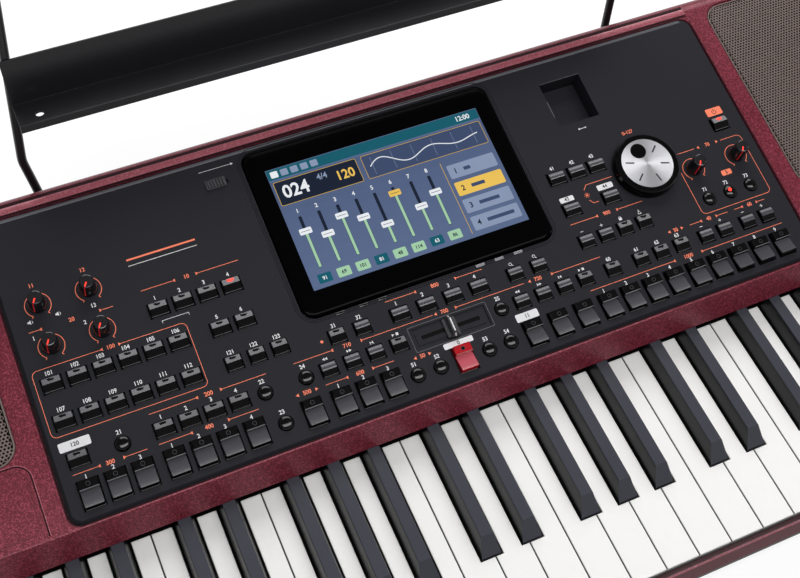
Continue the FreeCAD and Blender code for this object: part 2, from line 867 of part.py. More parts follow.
def strip_corners(rear_low):
    """Section of a cover: lip, sloping top and rear wall."""
    inner_y = REAR - s.cover_thick
    return [
        slope_point(s.lip_top - s.lip_lean, -s.lip_drop),
        slope_point(s.lip_top, s.cover_proud),
        (REAR, slope_top(REAR, s.cover_proud)),
        (REAR, rear_low),
        (inner_y, rear_low),
        (inner_y, slope_top(inner_y, s.cover_proud - s.cover_thick)),
        slope_point(s.lip_top + s.lip_thick, s.cover_proud - s.cover_thick),
        slope_point(s.lip_top - s.lip_lean + s.lip_thick, -s.lip_drop),
    ]


def strip(name, x_range, rear_low):
    """A length of cover."""
    rounds = [(s.rear_round, (2,)), (s.rear_round - s.cover_thick, (5,)),
              (s.lip_round, (1,))]
    return prism(name, "YZ_Plane", strip_corners(rear_low), x_range[0],
                 x_range[1] - x_range[0], rounds)


def make_center_cover():
    half = CENTER_WIDE / 2
    cover = strip("center_strip", (-half, half), REAR_LOW)
    deep = s.panel_ledge + s.cover_thick
    filler = box("center_ledge", (-half, half),
                 (s.panel_front - s.panel_gap, s.panel_front + PANEL_DEEP + s.panel_gap),
                 (-s.panel_thick - s.cover_thick, -s.panel_thick))
    filler = on_slope(filler)
    recess = rounded_plate("panel_recess",
                           (-PANEL_WIDE / 2 - s.panel_gap, PANEL_WIDE / 2 + s.panel_gap),
                           (s.panel_front - s.panel_gap,
                            s.panel_front + PANEL_DEEP + s.panel_gap),
                           (-s.panel_thick, s.cover_proud + s.overrun),
                           s.panel_round + s.panel_gap)
    window = box("center_window",
                 (-PANEL_WIDE / 2 + s.panel_ledge, PANEL_WIDE / 2 - s.panel_ledge),
                 (s.panel_front + s.panel_ledge,
                  s.panel_front + PANEL_DEEP - s.panel_ledge),
                 (-s.panel_thick - deep - s.overrun, s.overrun))
    tools = [on_slope(recess), on_slope(window)]
    node("center_cover", cut("center_cut", fused("center_whole", [cover, filler]), tools))


def side_corners(front, low):
    """Side view of a cheek from its front to the rear."""
    return [(front, low), (front, slope_top(front, s.cover_proud)),
            (REAR, slope_top(REAR, s.cover_proud)), (REAR, low)]


def cheek_top_corners():
    """Section of a cheek's front wall and top, up to under the lip."""
    end = LIP + s.lip_thick * 4
    inner = FRONT + s.cover_thick
    return [(FRONT, COVER_LOW), (FRONT, slope_top(FRONT, s.cover_proud)),
            (end, slope_top(end, s.cover_proud)),
            (end, slope_top(end, s.cover_proud - s.cover_thick)),
            (inner, slope_top(inner, s.cover_proud - s.cover_thick)),
            (inner, COVER_LOW)]


def cheek_side_corners():
    """Side view of a cheek's inner wall beside the keys."""
    end = LIP + s.lip_thick * 2
    return [(FRONT, COVER_LOW), (FRONT, slope_top(FRONT, s.cover_proud)),
            (end, slope_top(end, s.cover_proud)), (end, COVER_LOW)]


def grille_range(side):
    """Left and right edges of a grille, for the bass or treble side."""
    inner = CENTER_WIDE / 2 + s.grille_side
    outer = HALF - s.grille_end
    return (-outer, -inner) if side < 0 else (inner, outer)


def grille_up():
    """Front and rear edges of the grilles up the slope."""
    return (s.grille_front, s.grille_front + GRILLE_DEEP)


def speaker_place(side):
    """Middle of the speaker under a grille, drawn flat."""
    pair = grille_range(side)
    return ((pair[0] + pair[1]) / 2, s.grille_front + GRILLE_DEEP / 2)


def widened(pair, margin):
    """A range made wider on both sides."""
    return (pair[0] - margin, pair[1] + margin)


def make_end_cover(name, side, cheek_inner):
    seam = CENTER_WIDE / 2 + s.seam_gap
    inner, outer = (-seam, -HALF) if side < 0 else (seam, HALF)
    block_x = (outer, inner) if side < 0 else (inner, outer)
    cheek_x = (outer, cheek_inner) if side < 0 else (cheek_inner, outer)
    wall_x = (outer, outer + s.wall_thick) if side < 0 else (outer - s.wall_thick, outer)
    inner_x = ((cheek_inner - s.wall_thick, cheek_inner) if side < 0
               else (cheek_inner, cheek_inner + s.wall_thick))
    nose = [(s.nose_round, (1,))]
    block = strip(name + "_block", block_x, COVER_LOW)
    cheek = prism(name + "_cheek", "YZ_Plane", cheek_top_corners(), cheek_x[0],
                  cheek_x[1] - cheek_x[0], nose)
    wall = prism(name + "_wall", "YZ_Plane", side_corners(FRONT, COVER_LOW), wall_x[0],
                 s.wall_thick, nose + [(s.rear_round, (2,))])
    guard = prism(name + "_guard", "YZ_Plane", cheek_side_corners(), inner_x[0],
                  s.wall_thick, nose)
    parts = [block, cheek, wall, guard]
    grille_x = grille_range(side)
    recess = rounded_plate(name + "_recess", widened(grille_x, s.grille_gap),
                           widened(grille_up(), s.grille_gap),
                           (s.cover_proud - s.grille_thick - s.grille_gap,
                            s.cover_proud + s.overrun),
                           s.grille_round + s.grille_gap)
    speaker_x, speaker_y = speaker_place(side)
    opening = round_bar(name + "_opening", s.speaker_radius - s.speaker_flange, speaker_x,
                        speaker_y, (-s.cover_thick - s.overrun, s.overrun))
    tools = [on_slope(recess), on_slope(opening)]
    if side < 0:
        tools = tools + stick_tools(name) + switch_tools(name)
        parts = parts + stick_brackets(name)
    whole = fused(name + "_whole", parts)
    node(name, cut(name + "_cut", whole, tools))


def stick_place():
    """Middle of the joystick on the bass cheek: across, up, and pivot depth."""
    return ((-HALF + CHEEK_LEFT) / 2, -s.stick_set, -s.ball_drop)


def stick_tools(name):
    """Hole for the joystick's ball and bores for its gimbal pins."""
    x, y, z = stick_place()
    hole = round_bar(name + "_hole", s.ball_radius - s.cover_thick, x, y,
                     (-s.cover_thick - s.overrun, s.cover_proud + s.overrun))
    reach = s.ring_inner + s.ring_thick + s.pin_long + s.overrun
    bore = bar_along_x(name + "_bore", s.pin_radius + s.run_gap, (x - reach, x + reach), y, z)
    return [on_slope(hole), on_slope(bore)]


def stick_brackets(name):
    """Two brackets under the cheek that carry the joystick's gimbal."""
    x, y, z = stick_place()
    start = s.ring_inner + s.ring_thick + s.pin_air
    low = z - s.pin_radius * 2
    brackets = []
    for sign in (-1, 1):
        edges = sorted([start * sign, (start + s.bracket_thick) * sign],
                       key=lambda edge: edge.value)
        brackets.append(on_slope(box(name + "_bracket", (x + edges[0], x + edges[1]),
                                     about(y, s.bracket_wide),
                                     (low, s.cover_proud - s.cover_thick * HALF_SHARE))))
    return brackets


def switch_row():
    """First switch, its height up the slope and the pitch on the bass block."""
    x, y, z = stick_place()
    pitch = TIER_WIDE * 2
    return (x - pitch, s.groove_front + s.groove_deep / 2, pitch)


def switch_tools(name):
    """Groove round the controller field and holes for its switches."""
    field_x = widened(grille_range(-1), s.grille_gap)
    field_y = (s.groove_front, s.groove_front + s.groove_deep)
    deep = (s.cover_proud - s.groove_cut, s.cover_proud + s.overrun)
    outer = rounded_plate(name + "_groove_outer", field_x, field_y, deep, s.panel_round)
    island = rounded_plate(name + "_groove_island", widened(field_x, -s.groove_wide),
                           widened(field_y, -s.groove_wide), widened(deep, s.overrun),
                           s.panel_round - s.groove_wide)
    groove = cut(name + "_groove", outer, [island])
    first, height, pitch = switch_row()
    wide = CAP_WIDE + s.cap_gap * 2
    tall = s.cap_deep + s.cap_gap * 2
    tools = [on_slope(groove)]
    for number in range(SWITCH_SPOTS):
        tools.append(on_slope(box(name + "_switch_hole", about(first + pitch * number, wide),
                                  about(height, tall),
                                  (-s.cover_thick - s.overrun, s.overrun))))
    return tools


def make_key_slip():
    top = s.key_top - s.slip_below_key
    back = FRONT + s.slip_thick
    corners = [(FRONT, COVER_LOW), (FRONT, top), (back, top),
               (back, top - s.slip_wall), (FRONT + s.slip_wall, top - s.slip_wall),
               (FRONT + s.slip_wall, COVER_LOW)]
    node("key_slip", prism("slip", "YZ_Plane", corners, CHEEK_LEFT + s.seam_gap,
                           CHEEK_RIGHT - CHEEK_LEFT - s.seam_gap * 2,
                           [(s.slip_round, (1,)), (s.slip_round / 2, (2,))]))


def socket_frame():
    """Where a stand rod meets the rear: its depth and the socket's low end."""
    return (REAR + s.rod_air + s.rod_radius, COVER_LOW + s.socket_up)


def lean_about_socket(thing):
    """Lean a thing drawn upright back about the line of the stand's sockets."""
    y, z = socket_frame()
    return turned(thing, FreeCAD.Vector(-1, 0, 0), s.stand_lean, y, z)


def make_rear_panel():
    half = CENTER_WIDE / 2
    x_range = (-half, half)
    y_range = (REAR - s.rear_panel_thick, REAR)
    plate = box("rear_plate", x_range, y_range, (COVER_LOW, REAR_LOW))
    through = (REAR - s.rear_panel_thick - s.overrun, REAR + s.overrun)
    tools = []
    for number in range(JACKS):
        tools.append(bar_along_y("jack_hole", s.jack_nut_radius - s.jack_nut_thick,
                                 s.jack_start + s.jack_pitch * number, through, jack_height()))
    for number in range(DINS):
        tools.append(bar_along_y("din_hole", s.din_radius + s.fit_gap,
                                 s.din_start + s.din_pitch * number, through, jack_height()))
    tools.append(box("usb_hole", about(s.usb_across, s.usb_wide + s.fit_gap * 2), through,
                     about(jack_height(), s.usb_high + s.fit_gap * 2)))
    tools.append(box("inlet_hole", about(s.inlet_across, s.inlet_wide + s.fit_gap * 2), through,
                     about(jack_height(), s.inlet_high + s.fit_gap * 2)))
    parts = [plate]
    y, z = socket_frame()
    outer = s.rod_radius + s.socket_wall
    lean_back = s.socket_high * sine(s.stand_lean)
    for sign in (-1, 1):
        x = ROD_FOOT_HALF * sign
        parts.append(box("socket_block", about(x, outer * 2),
                         (REAR - s.rear_panel_thick, y + outer + lean_back), (z, z + s.socket_high)))
        tools.append(lean_about_socket(round_bar(
            "socket_bore", s.rod_radius + s.run_gap, x, ZERO,
            (s.socket_floor, s.socket_high + s.overrun * 4))))
    whole = fused("rear_whole", parts)
    node("rear_panel", cut("rear_cut", whole, tools))


def jack_height():
    """Height of the row of rear sockets."""
    return COVER_LOW + s.jack_up


# Control panel and its board


def cap_profile(kind):
    """Side view of a button about its middle."""
    low = -s.cap_under
    if kind == "tier":
        front, rear = about(ZERO, s.tier_deep)
        split = rear - s.tier_rear_deep
        return [(front, low), (rear, low), (rear, s.tier_rear_high), (split, s.tier_rear_high),
                (split, s.tier_pad_low), (front + s.tier_step, s.tier_front_high),
                (front, s.tier_front_high - s.tier_step)]
    front, rear = about(ZERO, s.cap_deep)
    return [(front, low), (rear, low), (rear, s.cap_rear), (ZERO, s.cap_high), (front, s.cap_low)]


def cap_size(kind):
    """Width and depth of a kind of button."""
    if kind == "tier":
        return (TIER_WIDE, s.tier_deep)
    if kind == "small":
        return (SMALL_WIDE, s.cap_deep)
    return (CAP_WIDE, s.cap_deep)


def button_row(name, kind, x, y, pitch, count):
    """A row of buttons, drawn flat."""
    body = new_body(name + "_row")
    if kind == "round":
        drawing = new_sketch(body, "XY_Plane", -s.cap_under)
        draw_circle(drawing, ZERO, ZERO, s.round_radius)
        pad(body, drawing, s.cap_under + s.round_high)
        top = s.round_high.value
        round_edges(body, s.round_soft, lambda edge: near(edge.BoundBox.ZMin, top))
    else:
        drawing = new_sketch(body, "YZ_Plane")
        draw_outline(drawing, cap_profile(kind))
        pad(body, drawing, cap_size(kind)[0], both_ways=True)
    repeat(body, pitch, count)
    return move(body, x, y, ZERO)


def button_holes(name, kind, x, y, pitch, count):
    """Holes in the panel for a row of buttons, drawn flat."""
    deep = (-s.panel_thick - s.overrun, s.overrun)
    holes = []
    for number in range(count):
        place = x + pitch * number
        if kind == "round":
            holes.append(round_bar(name + "_hole", s.round_radius + s.cap_gap, place, y, deep))
        else:
            wide, tall = cap_size(kind)
            holes.append(box(name + "_hole", about(place, wide + s.cap_gap * 2),
                             about(y, tall + s.cap_gap * 2), deep))
    return holes


def button_switches(name, x, y, pitch, count):
    """Switches on the board under a row of buttons, drawn flat."""
    top = -s.cap_under - s.cap_travel - s.switch_spare
    return [box(name + "_switch", about(x + pitch * number, s.switch_wide),
                about(y, s.switch_wide), (-s.board_drop, top)) for number in range(count)]


def make_buttons():
    groups = {}
    holes = []
    switches = []
    for name, row in ROWS.items():
        place = (name, row["kind"], across(name), up(name),
                 PANEL_WIDE * getattr(s, name + "_pitch_share"), row["count"])
        groups.setdefault(row["group"], []).append(button_row(*place))
        holes += button_holes(*place)
        switches += button_switches(name, *place[2:])
    for name, rows in groups.items():
        node(name, on_slope(group(name + "_group", rows)))
    return holes, switches


def hinge_place():
    """The display's hinge line: up the slope and out of it."""
    return (s.bezel_front + s.hinge_back, s.bezel_proud - s.bezel_thick - s.hinge_drop)


def make_control_panel(holes):
    half = PANEL_WIDE / 2
    plate = rounded_plate("panel_plate", (-half, half),
                          (s.panel_front, s.panel_front + PANEL_DEEP),
                          (-s.panel_thick, ZERO), s.panel_round)
    rear = (s.panel_front + PANEL_DEEP).value
    tip = plate.Tip
    edges = [n for n, edge in enumerate(tip.Shape.Edges)
             if near(edge.BoundBox.YMin, rear) and near(edge.BoundBox.ZMin, 0)]
    bevel = plate.newObject("PartDesign::Chamfer", "panel_bevel")
    bevel.Base = (tip, ["Edge%d" % (n + 1) for n in edges])
    bind(bevel, Size=s.panel_bevel)
    plate.Tip = bevel
    hinge_y, hinge_z = hinge_place()
    lug_start = BEZEL_WIDE / 2 + s.bezel_gap
    parts = [plate]
    for x_range in ((-lug_start - s.hinge_lug_wide, -lug_start),
                    (lug_start, lug_start + s.hinge_lug_wide)):
        parts.append(box("hinge_lug", x_range, about(hinge_y, s.hinge_lug_deep),
                         (-s.panel_thick - s.hinge_lug_drop, -s.panel_thick * HALF_SHARE)))
    well_low = -s.panel_thick - s.well_drop
    parts.append(box("well_shell", widened(WELL_X, s.well_wall), widened(WELL_Y, s.well_wall),
                     (well_low, -s.panel_thick * HALF_SHARE)))
    through = (-s.panel_thick - s.hinge_lug_drop - s.overrun, s.overrun)
    tools = list(holes)
    tools.append(box("well_hollow", WELL_X, WELL_Y, (well_low + s.well_wall, s.overrun)))
    port_x, port_y, port_z = port_ranges()
    tools.append(box("port_hole", (port_x[0] - s.overrun, WELL_X[0] + s.overrun),
                     widened(port_y, s.fit_gap), widened(port_z, s.fit_gap)))
    tools.append(rounded_plate("display_opening",
                               about(ZERO, BEZEL_WIDE + s.bezel_gap * 2),
                               (s.bezel_front - s.bezel_gap - s.bezel_swing,
                                s.bezel_front + BEZEL_DEEP + s.bezel_gap),
                               (-s.panel_thick - s.overrun, s.overrun), s.bezel_round))
    tools.append(bar_along_x("hinge_bore", s.hinge_radius + s.run_gap,
                             about(ZERO, (lug_start + s.hinge_lug_wide + s.overrun) * 2),
                             hinge_y, hinge_z))
    for name in KNOBS + ["value_dial"]:
        tools.append(round_bar(name + "_hole", s.shaft_radius + s.shaft_gap, across(name),
                               up(name), through))
    fader_x, fader_y = across("fader"), up("fader")
    tools.append(box("fader_well", about(fader_x, FADER_WELL_LONG),
                     about(fader_y, s.fader_well_wide), (-s.fader_well_deep, s.overrun)))
    slot = FADER_TRAVEL + s.fader_stem_long + s.cap_gap * 2
    tools.append(box("fader_slot", about(fader_x, slot), about(fader_y, s.fader_slot_wide),
                     through))
    lock_x, lock_y = across("display_lock"), up("display_lock")
    lock_half = s.lock_stem_long / 2 + s.cap_gap
    tools.append(box("lock_slot", (lock_x - lock_half, lock_x + lock_half + s.lock_travel),
                     about(lock_y, s.lock_stem_wide + s.cap_gap * 2), through))
    whole = fused("panel_whole", parts)
    node("control_panel", on_slope(cut("panel_cut", whole, tools)))


def make_panel_board(switches):
    half = PANEL_WIDE / 2 - s.panel_ledge - s.panel_round / 2
    front = s.panel_front + s.panel_ledge + s.panel_gap * 4
    rear = s.panel_front + PANEL_DEEP - s.panel_round
    notch = BEZEL_WIDE / 2 + s.bezel_gap * 5
    notch_front = s.bezel_front - s.bezel_gap * 4
    corners = [(-half, front), (half, front), (half, rear), (notch, rear), (notch, notch_front),
               (-notch, notch_front), (-notch, rear), (-half, rear)]
    low = -s.board_drop - s.board_thick
    board = prism("panel_circuit", "XY_Plane", corners, low, s.board_thick)
    gap_x = (WELL_X[0] - s.stick_port_long - s.well_wall * 2, WELL_X[1] + s.well_wall * 2)
    gap = box("board_gap", gap_x, widened(WELL_Y, s.well_wall * 2), widened((low, low), s.overrun * 4))
    bores = [gap]
    pots = []
    for name in KNOBS + ["value_dial"]:
        pot = box(name + "_pot_block", about(across(name), s.pot_wide),
                  about(up(name), s.pot_wide), (-s.board_drop, -s.cap_under))
        bore = round_bar(name + "_pot_bore", s.shaft_radius + s.run_gap, across(name), up(name),
                         (-s.shaft_drop - s.cap_gap, s.overrun))
        pots.append(cut(name + "_pot", pot, [bore]))
    posts = []
    for x in (-half + s.post_radius * 2, half - s.post_radius * 2):
        for share in POST_SHARES:
            posts.append(round_bar("post", s.post_radius, x, front + (rear - front) * share,
                                   (-s.board_drop, -s.panel_thick)))
    sliders = [box("fader_block", about(across("fader"), FADER_WELL_LONG),
                   about(up("fader"), s.pot_wide), (-s.board_drop, -s.cap_under - s.cap_travel))]
    parts = [cut("panel_circuit_cut", board, bores)] + switches + pots + posts + sliders
    node("panel_board", on_slope(group("panel_board_group", parts)))


def make_knobs():
    for name in KNOBS:
        x, y = across(name), up(name)
        cap = cone(name + "_cap", s.knob_radius, s.knob_top_radius, x, y,
                   (s.knob_float, s.knob_float + s.knob_high))
        shaft = round_bar(name + "_shaft", s.shaft_radius, x, y, (-s.shaft_drop, s.knob_float * 2))
        top = s.knob_float + s.knob_high
        pointer = box(name + "_pointer", about(x, s.pointer_wide),
                      (y, y + s.knob_top_radius * 2), (top - s.pointer_deep, top + s.overrun))
        whole = fused(name + "_whole", [cap, shaft])
        node(name, on_slope(cut(name + "_cut", whole, [pointer])))


def make_dial():
    x, y = across("value_dial"), up("value_dial")
    top = s.dial_float + s.dial_high
    skirt = cone("dial_skirt", s.dial_radius, s.dial_top_radius, x, y, (s.dial_float, top))
    shaft = round_bar("dial_shaft", s.shaft_radius, x, y, (-s.shaft_drop, s.dial_float * 2))
    seat = round_bar("dial_seat", s.dial_cap_radius + s.fit_gap, x, y,
                     (top - s.dial_cap_thick, top + s.overrun))
    dip_x, dip_y = x + s.dimple_across, y + s.dimple_up
    dip = round_bar("dial_dip", s.dimple_radius, dip_x, dip_y,
                    (top - s.dimple_deep - s.dial_cap_thick, top + s.overrun))
    rim = cut("dial_rim", fused("dial_whole", [skirt, shaft]), [seat, dip])
    disc = round_bar("dial_disc", s.dial_cap_radius, x, y, (top - s.dial_cap_thick, top))
    disc_hole = round_bar("dial_disc_hole", s.dimple_radius, dip_x, dip_y,
                          (top - s.dial_cap_thick - s.overrun, top + s.overrun))
    cap = cut("dial_cap", disc, [disc_hole])
    node("value_dial", on_slope(group("dial_group", [rim, cap])))


def make_sliders():
    x, y = across("fader"), up("fader")
    low = s.slide_float - s.fader_well_deep
    cap_range = about(x, s.fader_cap_long)
    cap = box("fader_handle", cap_range, about(y, s.fader_cap_wide), (low, low + s.fader_cap_high))
    stem = box("fader_stem", about(x, s.fader_stem_long), about(y, s.fader_stem_wide),
               (-s.cap_under, low + s.slide_float))
    dip = doc.addObject("Part::Cylinder", "fader_dip")
    bind(dip, Radius=s.fader_cap_long, Height=s.fader_cap_wide + s.overrun * 2)
    dip.Placement = FreeCAD.Placement(FreeCAD.Vector(0, 0, 0),
                                      FreeCAD.Rotation(FreeCAD.Vector(1, 0, 0), -90))
    move(dip, x, y - s.fader_cap_wide / 2 - s.overrun,
         low + s.fader_cap_high + s.fader_cap_long - s.fader_well_deep)
    whole = fused("fader_whole", [cap, stem])
    node("balance_fader", on_slope(cut("fader_cut", whole, [dip])))
    x, y = across("display_lock"), up("display_lock")
    grip = box("lock_grip", about(x, s.lock_long), about(y, s.lock_wide),
               (s.slide_float, s.slide_float + s.lock_high))
    stem = box("lock_stem", about(x, s.lock_stem_long), about(y, s.lock_stem_wide),
               (-s.cap_under, s.slide_float * 2))
    node("display_lock", on_slope(fused("lock_whole", [grip, stem])))


# Display on its hinge


def make_display():
    bezel_x = about(ZERO, BEZEL_WIDE)
    bezel_y = (s.bezel_front, s.bezel_front + BEZEL_DEEP)
    high = s.bezel_proud
    low = high - s.bezel_thick
    plate = rounded_plate("bezel_plate", bezel_x, bezel_y, (low, high), s.bezel_round)
    round_edges(plate, s.bezel_edge,
                lambda edge: near(edge.BoundBox.ZMin, high.value))
    screen_x = about(ZERO, s.screen_wide)
    screen_y = (SCREEN_FRONT, SCREEN_FRONT + s.screen_deep)
    window = box("screen_window", screen_x, screen_y, (low - s.overrun, high + s.overrun))
    seat = box("screen_seat", widened(screen_x, s.screen_lap + s.screen_spare),
               widened(screen_y, s.screen_lap + s.screen_spare),
               (low - s.overrun, low + s.screen_thick))
    node("display_bezel", on_slope(cut("bezel_cut", plate, [window, seat])))
    glass = box("screen_glass", widened(screen_x, s.screen_lap), widened(screen_y, s.screen_lap),
                (low, low + s.screen_thick))
    node("touch_screen", on_slope(glass))
    hinge_y, hinge_z = hinge_place()
    shell_x = widened(bezel_x, -s.shell_inset)
    shell_y = (s.bezel_front + s.shell_inset, bezel_y[1] - s.shell_inset)
    outer = box("shell_outer", shell_x, shell_y, (low - s.shell_deep, low))
    inner = box("shell_inner", widened(shell_x, -s.shell_wall), widened(shell_y, -s.shell_wall),
                (low - s.shell_deep + s.shell_wall, low - s.shell_wall))
    slot = box("shell_slot", widened(screen_x, -s.screen_lap), widened(screen_y, -s.screen_lap),
               (low - s.shell_deep + s.shell_wall, low + s.overrun))
    hollow = cut("shell_hollow", outer, [inner, slot])
    reach = BEZEL_WIDE / 2 + s.bezel_gap + s.hinge_lug_wide - s.bezel_gap
    pins = []
    for x_range in ((-reach, shell_x[0] + s.shell_wall), (shell_x[1] - s.shell_wall, reach)):
        pins.append(bar_along_x("hinge_pin", s.hinge_radius, x_range, hinge_y, hinge_z))
    node("display_shell", on_slope(fused("shell_whole", [hollow] + pins)))


def port_ranges():
    """The memory-stick socket in the well's bass-side wall."""
    x_range = (WELL_X[0] - s.stick_port_long, WELL_X[0] + s.stick_port_proud)
    middle_y = (WELL_Y[0] + WELL_Y[1]) / 2
    middle_z = -s.panel_thick - s.well_drop * HALF_SHARE
    return (x_range, about(middle_y, s.stick_port_wide), about(middle_z, s.stick_port_high))


# Grilles and speakers


def make_grilles():
    plates = []
    for side in (-1, 1):
        plates.append(rounded_plate("grille_plate", grille_range(side), grille_up(),
                                    (s.cover_proud - s.grille_thick - s.grille_gap,
                                     s.cover_proud - s.grille_gap), s.grille_round))
    node("speaker_grilles", on_slope(group("grille_group", plates)))


def make_speakers():
    speakers = []
    for side in (-1, 1):
        x, y = speaker_place(side)
        top = s.cover_proud - s.cover_thick
        low = top - s.speaker_drop
        ring_low = low - s.speaker_flange_thick
        throat = ring_low - s.basket_deep
        inner_radius = s.speaker_radius - s.speaker_flange
        seat = round_bar("speaker_seat", s.speaker_radius, x, y, (ring_low, top))
        hole = round_bar("speaker_hole", inner_radius, x, y,
                         (ring_low - s.overrun, top + s.overrun))
        ring = cut("speaker_ring", seat, [hole])
        basket = cone("basket", s.basket_low_radius, inner_radius + s.basket_wall, x, y,
                      (throat, ring_low))
        air = cone("basket_air", s.basket_low_radius - s.basket_wall, inner_radius, x, y,
                   (throat + s.basket_wall, ring_low))
        bowl = cut("speaker_bowl", basket, [air])
        magnet = round_bar("magnet", s.magnet_radius, x, y, (throat - s.magnet_deep, throat))
        speakers.append(fused("speaker", [ring, bowl, magnet]))
    node("speakers", on_slope(group("speaker_group", speakers)))


# Joystick


def make_joystick():
    x, y, z = stick_place()
    ball = doc.addObject("Part::Sphere", "stick_ball")
    bind(ball, Radius=s.ball_radius)
    move(ball, x, y, z)
    wide = s.ball_radius * 2 + s.overrun * 2
    below = box("stick_below", about(x, wide), about(y, wide),
                (z - s.ball_radius - s.overrun, z - s.ball_low))
    above_dome = cut("stick_dome", ball, [below])
    lever = round_bar("stick_lever", s.stick_radius, x, y, (z, s.stick_high))
    knob = cone("stick_knob", s.stick_radius, s.stick_knob_radius, x, y,
                (s.stick_high - s.stick_knob_high, s.stick_high))
    reach = s.ring_inner + s.ring_thick
    axle = bar_along_y("stick_axle", s.pin_radius, x, (y - reach, y + reach), z)
    node("joystick", on_slope(fused("stick_whole", [above_dome, lever, knob, axle])))
    z_range = about(z, s.ring_high)
    outer = round_bar("ring_outer", reach, x, y, z_range)
    inner = round_bar("ring_inner_hole", s.ring_inner, x, y, widened(z_range, s.overrun))
    bore = bar_along_y("ring_bore", s.pin_radius + s.run_gap, x,
                       (y - reach - s.overrun, y + reach + s.overrun), z)
    ring = cut("gimbal_ring", outer, [inner, bore])
    pins = []
    for sign in (-1, 1):
        ends = sorted([(s.ring_inner + s.ring_thick * HALF_SHARE) * sign,
                       (reach + s.pin_long - s.bracket_thick * HALF_SHARE) * sign],
                      key=lambda end: end.value)
        pins.append(bar_along_x("gimbal_pin", s.pin_radius, (x + ends[0], x + ends[1]), y, z))
    node("joystick_gimbal", on_slope(fused("gimbal_whole", [ring] + pins)))


def make_assignable_switches():
    first, height, pitch = switch_row()
    row = button_row("assignable", "wedge", first, height, pitch, SWITCH_SPOTS)
    node("assignable_switches", on_slope(group("assignable_group", [row])))


# Keys


def black_middle(number):
    """Place of a sharp in its octave, from the octave's left end."""
    shift = {1: -PAIR_SHIFT, 2: PAIR_SHIFT, 4: -TRIPLE_SHIFT,
             5: ZERO, 6: TRIPLE_SHIFT}[number]
    return s.key_pitch * number + shift


WHITE_NOTES = {"c": 0, "d": 1, "e": 2, "f": 3, "g": 4, "a": 5, "b": 6}
BLACK_NOTES = {"c_sharp": 1, "d_sharp": 2, "f_sharp": 4, "g_sharp": 5, "a_sharp": 6}


def white_sides(number, last=False):
    """Left and right sides of a natural: its head, then between the sharps."""
    left = s.key_pitch * number + s.key_gap / 2
    right = s.key_pitch * (number + 1) - s.key_gap / 2
    clear = BLACK_WIDE / 2 + s.notch_gap
    narrow_left, narrow_right = left, right
    if number in BLACK_NOTES.values():
        narrow_left = black_middle(number) + clear
    if number + 1 in BLACK_NOTES.values() and not last:
        narrow_right = black_middle(number + 1) - clear
    return left, right, narrow_left, narrow_right


def tail_middle(note):
    """Middle of a key's tail on the pivot rod, from the octave's left end."""
    if note in BLACK_NOTES:
        return black_middle(BLACK_NOTES[note])
    left, right, narrow_left, narrow_right = white_sides(WHITE_NOTES[note])
    return (narrow_left + narrow_right) / 2


def white_key(name, number, last=False):
    left, right, narrow_left, narrow_right = white_sides(number, last)
    notch = KEY_FRONT + s.white_head
    tail = tail_middle("c") if last else (narrow_left + narrow_right) / 2
    tail_y = LIP + s.tail_start
    end = PIVOT_Y + s.tail_end
    corners = [(left, KEY_FRONT), (right, KEY_FRONT), (right, notch), (narrow_right, notch),
               (narrow_right, tail_y), (tail + TAIL_WIDE / 2, tail_y),
               (tail + TAIL_WIDE / 2, end), (tail - TAIL_WIDE / 2, end),
               (tail - TAIL_WIDE / 2, tail_y), (narrow_left, tail_y), (narrow_left, notch),
               (left, notch)]
    corners = [corner for n, corner in enumerate(corners) if not doubled(corners, n)]
    body = new_body(name)
    low = s.key_top - s.white_thick
    drawing = new_sketch(body, "XY_Plane", low)
    draw_outline(drawing, corners)
    pad(body, drawing, s.white_thick)
    top = s.key_top.value
    lip_y = LIP.value
    round_edges(body, s.key_round, lambda edge: (near(edge.BoundBox.ZMin, top)
                                                 and edge.BoundBox.YMin < lip_y))
    hollow = new_sketch(body, "XY_Plane", low)
    draw_outline(hollow, rectangle((narrow_left + s.key_wall, narrow_right - s.key_wall),
                                   (KEY_FRONT + s.key_wall, tail_y - s.key_wall)))
    pocket(body, hollow, s.white_thick - s.key_roof, backwards=True)
    bore_pivot_at(body, tail)
    return body


def doubled(corners, index):
    """Whether a corner stands where the one before it does."""
    before = corners[index - 1]
    here = corners[index]
    return near(before[0].value, here[0].value) and near(before[1].value, here[1].value)


def bore_pivot_at(body, middle):
    """Bore a key's tail for the pivot rod, across the tail alone."""
    drawing = new_sketch(body, "YZ_Plane", middle)
    draw_circle(drawing, PIVOT_Y, PIVOT_Z, s.pivot_radius + s.run_gap)
    pocket(body, drawing, TAIL_WIDE * 2, both_ways=True)


